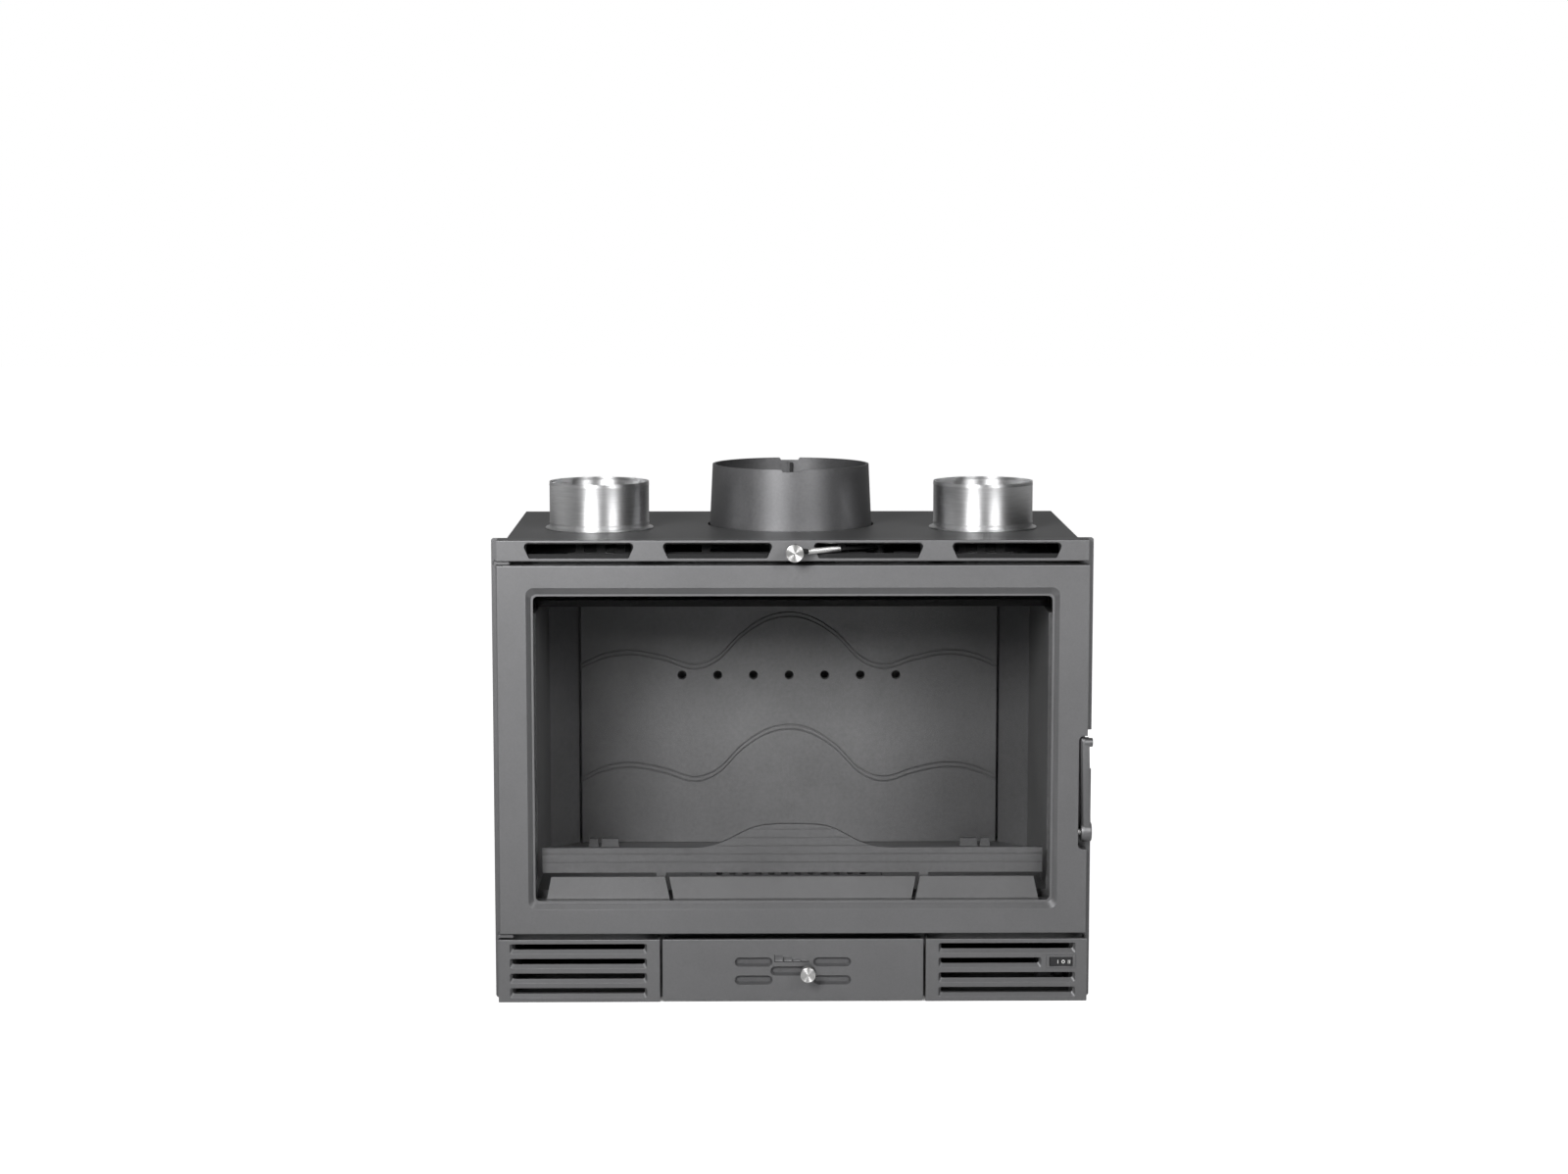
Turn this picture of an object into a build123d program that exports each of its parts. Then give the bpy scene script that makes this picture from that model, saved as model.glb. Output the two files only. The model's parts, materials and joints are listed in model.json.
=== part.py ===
from build123d import *
import os
from math import atan2, cos, degrees, hypot, radians, sin, tan

os.makedirs("parts", exist_ok=True)

# Sizes in mm. X runs to the right and Z up, as seen from the front, and Y runs to the back.
# The origin is under the middle of the base. "In" is a distance behind the front faces.

# Overall
width = 700
height = 550
depth = 430
front = -depth / 2
half = width / 2

# Sheet casing
casing_sheet = 2
base_sheet = 3
casing_inset = 15
top_length = depth - 80
back_slope_drop = 110
flange_in = 25
flange_sheet = 3
flange_out = 3.5
flange_corner = 3

# Front row heights
row_height = 75
row_gap = 6.5
band_height = 25
band_gap = 4.5
face_sheet = 5

# Band of hot-air slots
band_inset = 4.5
band_end = 29.3
band_land = 28.7
band_middle = 43
slot_foot = 3
slot_head = 3
slot_taper = 8.75
slot_bevel_side = 5.5
slot_bevel_foot = 5.5
slot_bevel_head = 2
slot_bevel_depth = 4

# Bottom grilles
drawer_half = 154.3
grille_inner = 157.5
grille_side_gap = 1.5
grille_end = 15
vent_count = 4
vent_pitch = 17.73
vent_height = 12
vent_first = 4.8
vent_bevel_end = 3
vent_bevel_foot = 4.5
vent_bevel_head = 0.5

# Door
door_inset = 3.5
door_plate = 8
door_depth = 20
glass_sheet = 4
gasket_sheet = 1.5
gasket_wide = 6.5
opening_side = 42.5
opening_foot = 39
opening_head = 37
bevel_side = 5.5
bevel_foot = 6.5
bevel_head = 8
bevel_depth = 6
bevel_rim = 2.5
glass_lap = 7.2
rope_wide = 9
rope_deep = 9.7
rope_seat = 2
rope_inset = 20
rope_wall = 4
rim_wall = 5
hinge_inset = 12.5
hinge_in = 12
pin_radius = 3
pin_play = 0.05
bracket_sheet = 3.5
bracket_length = 20

# Handle
recess_inset = 13.7
recess_low = row_height + 107.3
recess_high = row_height + 243
hub_height = row_height + 126.5
hub_radius = 11.85
hub_left = 340.2 - 350
hub_right = 2.9
lever_top = row_height + 240
lever_wide = 10
pivot_radius = 4

# Firebox
firebox_front_in = 28
firebox_front_thick = 8
firebox_inset = 33
chamber_wall = 4
firebox_back_gap = 64
plenum_high = row_height + 13
plenum_sheet = 3
firebox_high = height - 30
firebox_top_thick = 8
mouth_side = 42
mouth_low = row_height + 43
mouth_high = height - 68
bed_low = row_height + 39
bed_high = row_height + 49
lining_half = 304
lining_thick = 8
lining_front_in = 40
lining_corner = 35
lining_high = height - 92
lining_gap = 3
back_lining_thick = 10
back_lining_gap = 32
baffle_thick = 8
baffle_front_in = 110
baffle_lap = 6
baffle_corner = 10

# Flue and hot-air sockets
flue_in = 195
flue_bore = 92
collar_foot = 99
collar_rim = 95.5
collar_top = height + 73.6
collar_flange = 112
collar_hole = 101.5
collar_seat = 2
socket_x = 232
socket_in = 145
socket_radius = 60
socket_wall = 0.8
socket_top = height + 57
socket_bead = 65

# Ash drawer
pan_half = 148
pan_low = 6
pan_high = 66
pan_front_in = 20
pan_back_in = 320
pan_sheet = 1.5
bay_half = 160
chute_x = 112
chute_front_in = 112
chute_back_in = 268

# Air slide
air_travel = 35
air_slot_long = 45
air_slot_high = 11.4
air_slot_start = 24
air_row_high = 47.5
air_row_low = 25.7
air_middle = 36.6
air_middle_half = 26.6
air_knob_x = 17.5
air_knob_radius = 8.9

# Flue damper
spindle_x = 103
spindle_in = 48
spindle_radius = 5
rod_radius = 3
rod_height = height - 12
blade_thick = 3
blade_high = firebox_high - 14
blade_radius = 88
blade_chord = 72

# Fans
fan_x = 243
fan_in = 380
fan_height = 44
fan_radius = 27
fan_length = 120
fan_blades = 20
fan_shaft = 3
housing_radius = 33

# Switch
switch_left = 300.6
switch_right = 334.7
switch_low = 39.9
switch_high = 54.9
rocker_radius = 13.4

play = 0.3

# Places worked out from the sizes above
top_z = height - casing_sheet
casing_half = half - casing_inset
inner_half = casing_half - casing_sheet
door_half = half - door_inset
door_low = row_height + row_gap
door_high = height - band_height - band_gap
opening_half = door_half - opening_side
opening_low = door_low + opening_foot
opening_high = door_high - opening_head
glass_front_in = door_plate + gasket_sheet
glass_back_in = glass_front_in + glass_sheet
rope_half = door_half - rope_inset
rope_low = door_low + rope_inset / 2
rope_high = door_high - rope_inset / 2
clip_screw_low = rope_low + rope_wide + 6.6
clip_screw_high = rope_high - rope_wide - 6.6
hinge_x = -half + hinge_inset
firebox_front_back = firebox_front_in + firebox_front_thick
firebox_half = half - firebox_inset
mouth_half = half - mouth_side
shell_back_in = depth - firebox_back_gap
lining_back_in = shell_back_in - chamber_wall - back_lining_gap
chute_hole = chute_x + 0.5
vent_foot_z = [vent_first + vent_pitch * row for row in range(vent_count)]


def back(distance):
    """Y of a point that lies this far behind the front faces."""
    return front + distance


def facing(distance):
    """Plane parallel to the front, with X to the right and Z up."""
    return Plane.XZ.offset(-back(distance))


def level(z):
    return Plane.XY.offset(z)


def across(x):
    """Plane seen from the right, with Y and Z as its axes."""
    return Plane.YZ.offset(x)


def patch(edge_1, far_1, edge_2, far_2, mode=Mode.ADD):
    """Rectangle in the sketch, given by its edges in any order."""
    with Locations(((edge_1 + far_1) / 2, (edge_2 + far_2) / 2)):
        Rectangle(abs(far_1 - edge_1), abs(far_2 - edge_2), mode=mode)


def round_patch(edge_1, far_1, edge_2, far_2, radius, mode=Mode.ADD):
    """Rectangle with round corners in the sketch, given by its edges in any order."""
    with Locations(((edge_1 + far_1) / 2, (edge_2 + far_2) / 2)):
        RectangleRounded(abs(far_1 - edge_1), abs(far_2 - edge_2), radius, mode=mode)


def ring(half_wide, low, high, wall):
    """Rectangular ring in the sketch, even about X = 0, with its wall inside the edges."""
    patch(-half_wide, half_wide, low, high)
    patch(-half_wide + wall, half_wide - wall, low + wall, high - wall, Mode.SUBTRACT)


def save(name, piece):
    piece.label = name
    export_step(piece, "parts/" + name + ".step")


# Front flange: the sheet that the front pieces are fixed to

flange_window_foot = 6
band_window_side = 30
band_window_low = 23
band_window_high = 4
vent_window_side = 20
vent_window_inner = 10
latch_window_in = 9.5
latch_window_out = 2.5
latch_window_drop = 9.5
latch_window_rise = 31
stub_notch_in = 4
stub_notch_low = 73
stub_notch_high = 120
flange_window_top = row_height - 5
with BuildPart() as front_frame:
    with BuildSketch(facing(flange_in)):
        round_patch(-half - flange_out, half + flange_out, 0, height, flange_corner)
        side = half - band_window_side
        patch(-side, side, height - band_window_low, height - band_window_high, Mode.SUBTRACT)
        patch(-rope_half - 1, rope_half + 1, rope_low - 1.5, rope_high + 1.5, Mode.SUBTRACT)
        patch(-pan_half - 4, pan_half + 4, 3, flange_window_top + 2, Mode.SUBTRACT)
        for side in (-1, 1):
            outer = side * (half - vent_window_side)
            inner = side * (grille_inner + vent_window_inner)
            patch(outer, inner, flange_window_foot, flange_window_top, Mode.SUBTRACT)
        latch_left = half - latch_window_in
        latch_right = half - latch_window_out
        latch_low = hub_height - latch_window_drop
        patch(latch_left, latch_right, latch_low, hub_height + latch_window_rise, Mode.SUBTRACT)
        notch_low = hub_height + stub_notch_low
        notch_side = half + flange_out + 1
        patch(half - stub_notch_in, notch_side, notch_low, hub_height + stub_notch_high, Mode.SUBTRACT)
    extrude(amount=-flange_sheet)
save("front_frame", front_frame.part)

# Casing sheets

slope_back = hypot(back_slope_drop, depth - top_length)
slope_run = (depth - top_length) / back_slope_drop
wall_across_slope = casing_sheet * slope_back / back_slope_drop
slope_top_in = top_length + casing_sheet * slope_run
side_outline = [
    (back(firebox_front_in), 0),
    (back(depth), 0),
    (back(depth), height - back_slope_drop),
    (back(slope_top_in), top_z),
    (back(firebox_front_in), top_z),
]
rear_screws = [60, 200, 340]
front_screws = [100, 300, 500]
screw_edge = 12
screw_hole = 2
screw_head = 4.2

for side, name in ((-1, "casing_side_left"), (1, "casing_side_right")):
    with BuildPart() as casing_side:
        with BuildSketch(across(side * inner_half)):
            Polygon(*side_outline)
            with Locations(*[(back(depth - screw_edge), z) for z in rear_screws]):
                Circle(screw_hole, mode=Mode.SUBTRACT)
            with Locations(*[(back(firebox_front_in + screw_edge), z) for z in front_screws]):
                Circle(screw_hole, mode=Mode.SUBTRACT)
        extrude(amount=side * casing_sheet)
    save(name, casing_side.part)

with BuildPart() as casing_top:
    with BuildSketch(level(top_z)):
        patch(-casing_half, casing_half, back(firebox_front_in), back(top_length))
        with Locations((0, back(flue_in))):
            Circle(collar_hole, mode=Mode.SUBTRACT)
        with Locations((-socket_x, back(socket_in)), (socket_x, back(socket_in))):
            Circle(socket_radius - socket_wall, mode=Mode.SUBTRACT)
    extrude(amount=casing_sheet)
save("casing_top", casing_top.part)

back_inner_in = depth - casing_sheet
bend_inner_z = height - back_slope_drop - (wall_across_slope - casing_sheet) / slope_run
back_outline = [
    (back(depth), base_sheet),
    (back(depth), height - back_slope_drop),
    (back(slope_top_in), top_z),
    (back(slope_top_in - wall_across_slope), top_z),
    (back(back_inner_in), bend_inner_z),
    (back(back_inner_in), base_sheet),
]
gland_x = 300
gland_z = 25
gland_radius = 8
intake_count = 9
intake_pitch = 14
with BuildPart() as casing_back:
    with BuildSketch(across(-inner_half)):
        Polygon(*back_outline)
    extrude(amount=2 * inner_half)
    with BuildSketch(facing(depth)):
        with Locations((gland_x, gland_z)):
            Circle(gland_radius)
        for side in (-1, 1):
            with Locations((side * fan_x, fan_height)):
                with GridLocations(intake_pitch, 0, intake_count, 1):
                    SlotOverall(40, 6, rotation=90)
    extrude(amount=casing_sheet, mode=Mode.SUBTRACT)
save("casing_back", casing_back.part)

with BuildPart() as base_plate:
    with BuildSketch(level(0)):
        patch(-inner_half, inner_half, back(firebox_front_in), back(depth))
    extrude(amount=base_sheet)
save("base_plate", base_plate.part)

fan_port_back = 414
fan_port_half = 60
with BuildPart() as plenum_floor:
    with BuildSketch(level(plenum_high - plenum_sheet)):
        patch(-inner_half, inner_half, back(firebox_front_in), back(back_inner_in))
        patch(-chute_hole, chute_hole, back(chute_front_in - 0.5), back(chute_back_in + 0.5), Mode.SUBTRACT)
        for side in (-1, 1):
            middle = side * fan_x
            left = middle - fan_port_half
            right = middle + fan_port_half
            patch(left, right, back(shell_back_in + 4), back(fan_port_back), Mode.SUBTRACT)
    extrude(amount=plenum_sheet)
save("plenum_floor", plenum_floor.part)

# Firebox: welded shell, top plate and cast front

shell_top = firebox_high - firebox_top_thick
with BuildPart() as firebox_shell:
    with BuildSketch(level(plenum_high)):
        patch(-firebox_half, firebox_half, back(firebox_front_back), back(shell_back_in))
    extrude(amount=shell_top - plenum_high)
    with BuildSketch(level(plenum_high + chamber_wall)):
        inner = firebox_half - chamber_wall
        patch(-inner, inner, back(firebox_front_back), back(shell_back_in - chamber_wall))
    extrude(amount=shell_top - plenum_high - chamber_wall, mode=Mode.SUBTRACT)
    with BuildSketch(level(plenum_high)):
        patch(-chute_hole, chute_hole, back(chute_front_in - 0.5), back(chute_back_in + 0.5))
    extrude(amount=chamber_wall, mode=Mode.SUBTRACT)
save("firebox_shell", firebox_shell.part)

rib_half = 261
rib_high = firebox_high + 12
lug_high = firebox_high + 21
rib_thick = 6
rib_gap = 16
lug_half = 5
lug_places = (-250, -225, -202, -102, 200, 222, 245)
bush_radius = 9
with BuildPart() as firebox_top:
    with BuildSketch(level(shell_top)):
        patch(-firebox_half, firebox_half, back(firebox_front_back), back(shell_back_in))
        with Locations((0, back(flue_in))):
            Circle(flue_bore - collar_seat, mode=Mode.SUBTRACT)
        with Locations((spindle_x, back(spindle_in))):
            Circle(bush_radius, mode=Mode.SUBTRACT)
    extrude(amount=firebox_top_thick)
save("firebox_top", firebox_top.part)

with BuildPart() as top_ribs:
    rib_back_in = firebox_front_back + rib_thick
    with BuildSketch(level(firebox_high)):
        patch(-rib_half, spindle_x - rib_gap, back(firebox_front_back), back(rib_back_in))
        patch(spindle_x + rib_gap, rib_half, back(firebox_front_back), back(rib_back_in))
    extrude(amount=rib_high - firebox_high)
    with BuildSketch(level(rib_high)):
        for lug_x in lug_places:
            patch(lug_x - lug_half, lug_x + lug_half, back(firebox_front_back), back(rib_back_in))
    extrude(amount=lug_high - rib_high)
save("top_ribs", top_ribs.part)

with BuildPart() as firebox_front:
    with BuildSketch(facing(firebox_front_in)):
        patch(-half + 18, half - 18, plenum_high, firebox_high)
        round_patch(-mouth_half, mouth_half, mouth_low, mouth_high, 4, Mode.SUBTRACT)
    extrude(amount=-firebox_front_thick)
save("firebox_front", firebox_front.part)

# Fire bed, grate and ash chute

bed_front_in = 50
bed_half = firebox_half - chamber_wall - 1
skirt = 6
skirt_inset = 8
stop_spans = ((217, 240), (243, 256))
stop_front_in = 292
stop_back_in = 304
stop_high = 12
stop_draft = 6
grate_play = 1
grate_half = 110
grate_front_in = 115
grate_back_in = 265
grate_thick = 6
ledge = 8
with BuildPart() as firebox_floor:
    with BuildSketch(level(bed_low)):
        patch(-bed_half, bed_half, back(bed_front_in), back(shell_back_in - chamber_wall))
    extrude(amount=bed_high - bed_low)
    with BuildSketch(level(plenum_high + chamber_wall)):
        skirt_back_in = shell_back_in - chamber_wall - skirt_inset
        ring(bed_half - skirt_inset, back(bed_front_in), back(skirt_back_in), skirt)
    extrude(amount=bed_low - plenum_high - chamber_wall)
    with BuildSketch(level(bed_high)):
        for side in (-1, 1):
            for near, far in stop_spans:
                patch(side * near, side * far, back(stop_front_in), back(stop_back_in))
    extrude(amount=stop_high, taper=stop_draft)
    with BuildSketch(level(bed_high - grate_thick)):
        side = grate_half + grate_play
        patch(-side, side, back(grate_front_in - grate_play), back(grate_back_in + grate_play))
    extrude(amount=grate_thick, mode=Mode.SUBTRACT)
    with BuildSketch(level(bed_low)):
        side = grate_half - ledge
        patch(-side, side, back(grate_front_in + ledge), back(grate_back_in - ledge))
    extrude(amount=bed_high - bed_low, mode=Mode.SUBTRACT)
save("firebox_floor", firebox_floor.part)

bar_pitch = 16
bar_slot = 8
bar_slot_long = 52
bar_row_pitch = 62
with BuildPart() as grate:
    with BuildSketch(level(bed_high - grate_thick)):
        patch(-grate_half, grate_half, back(grate_front_in), back(grate_back_in))
        with Locations((0, back((grate_front_in + grate_back_in) / 2))):
            with GridLocations(bar_pitch, bar_row_pitch, 12, 2):
                SlotOverall(bar_slot_long, bar_slot, rotation=90, mode=Mode.SUBTRACT)
    extrude(amount=grate_thick)
save("grate", grate.part)

chute_wall = 3
chute_low = pan_high + 3
with BuildPart() as ash_chute:
    with BuildSketch(level(chute_low)):
        patch(-chute_x, chute_x, back(chute_front_in), back(chute_back_in))
    extrude(amount=bed_low - chute_low)
    with BuildSketch(level(plenum_high + chamber_wall)):
        patch(-chute_x - 12, chute_x + 12, back(chute_front_in - 12), back(chute_back_in + 12))
    extrude(amount=2)
    with BuildSketch(level(chute_low)):
        inner = chute_x - chute_wall
        patch(-inner, inner, back(chute_front_in + chute_wall), back(chute_back_in - chute_wall))
    extrude(amount=bed_low - chute_low, mode=Mode.SUBTRACT)
save("ash_chute", ash_chute.part)

# Cast linings

groove_wide = 5
groove_deep = 2
upper_wave = lining_high - 37
wave_between = 146.5
wave_side = [(30, -6.4), (60.5, -26.1), (91, -56.8), (121, -67.9), (160, -56.5), (204, -49.2), (240, -54.8)]
wave_side.append((lining_half - lining_corner - lining_gap, -66.5))
wave_points = [(-x, z) for x, z in reversed(wave_side)] + [(0, 0)] + wave_side
air_hole_radius = 5.15
air_hole_pitch = 45.6
air_hole_count = 7
air_hole_z = lining_high - 116.5
back_lining_half = lining_half - lining_corner - lining_gap
with BuildPart() as back_lining:
    with BuildSketch(facing(lining_back_in)):
        patch(-back_lining_half, back_lining_half, bed_high, lining_high)
    extrude(amount=-back_lining_thick)
    with BuildSketch(facing(lining_back_in)):
        for crest in (upper_wave, upper_wave - wave_between):
            with BuildLine():
                Spline(*[(x, crest + z) for x, z in wave_points])
            trace(line_width=groove_wide)
    extrude(amount=-groove_deep, mode=Mode.SUBTRACT)
    with BuildSketch(facing(lining_back_in)):
        with Locations((0, air_hole_z)):
            with GridLocations(air_hole_pitch, 0, air_hole_count, 1):
                Circle(air_hole_radius)
    extrude(amount=-back_lining_thick, mode=Mode.SUBTRACT)
save("back_lining", back_lining.part)

miter = lining_thick * tan(radians(22.5))
diagonal = lining_thick * cos(radians(45))
corner_in = lining_back_in + lining_gap - lining_corner
lining_plan = [
    (lining_half, lining_front_in),
    (lining_half, corner_in),
    (lining_half - lining_corner, corner_in + lining_corner),
    (lining_half - lining_corner + diagonal, corner_in + lining_corner + diagonal),
    (lining_half + lining_thick, corner_in + miter),
    (lining_half + lining_thick, lining_front_in),
]
lining_plan = [(x, max(distance, bed_front_in)) for x, distance in lining_plan]
for side, name in ((-1, "side_lining_left"), (1, "side_lining_right")):
    with BuildPart() as side_lining:
        with BuildSketch(level(bed_high)):
            Polygon(*[(side * x, back(distance)) for x, distance in lining_plan])
        extrude(amount=lining_high - bed_high)
    save(name, side_lining.part)

with BuildPart() as baffle_plate:
    with BuildSketch(level(lining_high)):
        side = lining_half + baffle_lap
        baffle_back_in = lining_back_in + back_lining_thick
        round_patch(-side, side, back(baffle_front_in), back(baffle_back_in), baffle_corner)
    extrude(amount=baffle_thick)
save("baffle_plate", baffle_plate.part)

# Log guard and sill

guard_half = 298
guard_in = 38
guard_thick = 8
guard_low = mouth_low + 29.6
guard_side = mouth_low + 59.4
guard_crest = mouth_low + 88
guard_foot_x = 156.5
guard_heel = 16
guard_line = 1.4
guard_foot_half = 5.5
guard_hump = 118
hump_shoulder = 45
shoulder_drop = 4
guard_line_rises = [41.7, 51.8, 61.7, 71.7, 81.7]
with BuildPart() as log_guard:
    with BuildSketch(facing(guard_in)):
        with BuildLine():
            Line((guard_half, guard_side), (guard_half, guard_low))
            Line((guard_half, guard_low), (-guard_half, guard_low))
            Line((-guard_half, guard_low), (-guard_half, guard_side))
            Line((-guard_half, guard_side), (-guard_hump, guard_side))
            Spline(
                (-guard_hump, guard_side),
                (-hump_shoulder, guard_crest - shoulder_drop),
                (0, guard_crest),
                (hump_shoulder, guard_crest - shoulder_drop),
                (guard_hump, guard_side),
                tangents=[(1, 0), (1, 0)],
            )
            Line((guard_hump, guard_side), (guard_half, guard_side))
        make_face()
    extrude(amount=-guard_thick)
    with BuildSketch(facing(guard_in)):
        for rise in guard_line_rises:
            line_z = mouth_low + rise
            patch(-guard_half - 1, guard_half + 1, line_z - guard_line / 2, line_z + guard_line / 2)
    extrude(amount=-1, mode=Mode.SUBTRACT)
    with BuildSketch(facing(guard_in)):
        for side in (-1, 1):
            foot_x = side * guard_foot_x
            patch(foot_x - guard_foot_half, foot_x + guard_foot_half, mouth_low + 6, guard_low)
    extrude(amount=-guard_thick)
    with BuildSketch(facing(guard_in)):
        for side in (-1, 1):
            foot_x = side * guard_foot_x
            patch(foot_x - guard_foot_half, foot_x + guard_foot_half, bed_high, bed_high + 10)
    extrude(amount=-guard_thick - guard_heel)
save("log_guard", log_guard.part)

sill_front_in = 15
sill_lip = mouth_low + 3.6
sill_top = mouth_low + 26
sill_back_in = 36
sill_wall = 5
sill_section = [
    (sill_front_in, mouth_low),
    (sill_front_in, sill_lip),
    (sill_back_in - 5, sill_top),
    (sill_back_in, sill_top),
    (sill_back_in, sill_top - sill_wall),
    (sill_back_in - 2.5, sill_top - sill_wall),
    (sill_front_in + 7, mouth_low + sill_wall),
    (sill_back_in, mouth_low + sill_wall),
    (sill_back_in, mouth_low),
]
sill_plans = {
    "sill_centre": [(-140, 0), (-147, 1), (147, 1), (140, 0)],
    "side_sills": [(145, 0), (152, 1), (287, 1), (292, 0)],
}
for name, corners in sill_plans.items():
    with BuildPart() as sill:
        with BuildSketch(across(-guard_half)):
            Polygon(*[(back(distance), z) for distance, z in sill_section])
        extrude(amount=2 * guard_half)
        with BuildSketch(facing(sill_front_in - 1)):
            outline = [(x, mouth_low - 1 if end == 0 else sill_top + 1) for x, end in corners]
            Polygon(*outline)
        extrude(amount=-40, mode=Mode.INTERSECT)
        if name == "side_sills":
            mirror(about=Plane.YZ)
    save(name, sill.part)

# Flue collar and hot-air sockets

notch_wide = 27
notch_deep = 3
with BuildPart() as flue_collar:
    with BuildSketch(Plane.XZ.offset(-back(flue_in))):
        Polygon(
            (flue_bore, firebox_high),
            (collar_flange, firebox_high),
            (collar_flange, firebox_high + 6),
            (collar_foot, firebox_high + 6),
            (collar_foot, height),
            (collar_rim, collar_top),
            (flue_bore, collar_top),
        )
    revolve(axis=Axis((0, back(flue_in), 0), (0, 0, 1)))
    with BuildSketch(Plane.XZ.offset(-back(flue_in))):
        half_notch = notch_wide / 2
        Polygon(
            (-half_notch, collar_top + 1),
            (-half_notch + 3, collar_top - notch_deep),
            (half_notch - 3, collar_top - notch_deep),
            (half_notch, collar_top + 1),
        )
    extrude(amount=collar_flange, both=True, mode=Mode.SUBTRACT)
    with BuildSketch(level(height)):
        with Locations((0, back(flue_in) + flue_bore)):
            Rectangle(7, 3)
    extrude(amount=collar_top - 6 - height, mode=Mode.SUBTRACT)
save("flue_collar", flue_collar.part)

for side, name in ((-1, "hot_air_outlet_left"), (1, "hot_air_outlet_right")):
    with BuildPart() as socket:
        with BuildSketch(facing(socket_in)):
            Polygon(
                (side * socket_x + socket_radius - socket_wall, height),
                (side * socket_x + socket_bead, height),
                (side * socket_x + socket_bead, height + 2),
                (side * socket_x + socket_radius, height + 2),
                (side * socket_x + socket_radius, socket_top),
                (side * socket_x + socket_radius - socket_wall, socket_top),
            )
        revolve(axis=Axis((side * socket_x, back(socket_in), 0), (0, 0, 1)))
    save(name, socket.part)

# Band of hot-air slots over the door

band_half = half - band_inset
band_low = height - band_height
slot_low = band_low + slot_foot
slot_high = height - slot_head
slot_long = (band_half - band_end - band_land - band_middle / 2) / 2
slot_ends = []
for start in (band_middle / 2, band_middle / 2 + slot_long + band_land):
    slot_ends.append((start, start + slot_long))
    slot_ends.append((-start - slot_long, -start))


def band_slot(left, right):
    """Outline of one slot at the face, narrower at its foot."""
    Polygon(
        (left + slot_taper, slot_low),
        (right - slot_taper, slot_low),
        (right, slot_high),
        (left, slot_high),
    )


def slot_mouth(left, right):
    """The slot's straight inner opening."""
    patch(
        left + slot_bevel_side,
        right - slot_bevel_side,
        slot_low + slot_bevel_foot,
        slot_high - slot_bevel_head,
    )


with BuildPart() as top_grille:
    with BuildSketch(across(-band_half)):
        Polygon(
            (back(0), band_low),
            (back(0), height),
            (back(flange_in), height),
            (back(flange_in), height - casing_sheet),
            (back(face_sheet), height - casing_sheet),
            (back(face_sheet), band_low),
        )
    extrude(amount=2 * band_half)
    for side in (-1, 1):
        with BuildSketch(across(side * band_half)):
            patch(back(face_sheet), back(flange_in), band_low, height - casing_sheet)
        extrude(amount=-side * casing_sheet)
    for left, right in slot_ends:
        with BuildSketch(facing(0)) as slot_face:
            band_slot(left, right)
            fillet(slot_face.vertices().group_by(Axis.Y)[0], 2.5)
            fillet(slot_face.vertices().group_by(Axis.Y)[-1], 5)
        with BuildSketch(facing(slot_bevel_depth)) as slot_hole:
            slot_mouth(left, right)
            fillet(slot_hole.vertices(), 2.5)
        loft(ruled=True, mode=Mode.SUBTRACT)
        with BuildSketch(facing(slot_bevel_depth)) as slot_hole:
            slot_mouth(left, right)
            fillet(slot_hole.vertices(), 2.5)
        extrude(amount=slot_bevel_depth - face_sheet, mode=Mode.SUBTRACT)
    band_edges = top_grille.edges().filter_by(Axis.X).group_by(Axis.Y)[0].sort_by(Axis.Z)
    fillet([band_edges[0], band_edges[-1]], 1.2)
save("top_grille", top_grille.part)

# Bottom grilles, with the switch in the right one


def vent_cut(left, right, foot):
    """One slot of a bottom grille: a bevelled mouth and its through opening."""
    inner = (
        left + vent_bevel_end,
        right - vent_bevel_end,
        foot + vent_bevel_foot,
        foot + vent_height - vent_bevel_head,
    )
    with BuildPart(mode=Mode.PRIVATE) as cut:
        with BuildSketch(facing(0)):
            round_patch(left, right, foot, foot + vent_height, 2.5)
        with BuildSketch(facing(face_sheet - 1)):
            round_patch(*inner, 2.5)
        loft(ruled=True)
        with BuildSketch(facing(face_sheet - 1)):
            round_patch(*inner, 2.5)
        extrude(amount=-1)
    return cut.part


vent_inner = grille_inner + grille_end
vent_outer = half - grille_end
grille_outer = half - grille_side_gap
short_vent_end = switch_left - 6
for side, name in ((-1, "grille_left"), (1, "grille_right")):
    with BuildPart() as grille:
        with BuildSketch(facing(0)):
            patch(side * grille_inner, side * grille_outer, 0, row_height)
        extrude(amount=-face_sheet)
        for edge in (side * grille_inner, side * grille_outer):
            inward = side if edge == side * grille_inner else -side
            with BuildSketch(facing(face_sheet)):
                patch(edge, edge + casing_sheet * inward, 0, row_height)
            extrude(amount=face_sheet - flange_in)
        for row, foot in enumerate(vent_foot_z):
            beside_switch = side == 1 and row == vent_count - 2
            end = short_vent_end if beside_switch else vent_outer
            left, right = sorted((side * vent_inner, side * end))
            add(vent_cut(left, right, foot), mode=Mode.SUBTRACT)
        if side == 1:
            with BuildSketch(facing(0)):
                patch(switch_left + 2, switch_right - 2, switch_low + 1.5, switch_high - 1.5)
            extrude(amount=-face_sheet, mode=Mode.SUBTRACT)
        fillet(grille.edges().filter_by(Axis.X).group_by(Axis.Y)[0].sort_by(Axis.Z)[-1], 0.8)
    save(name, grille.part)

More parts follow.
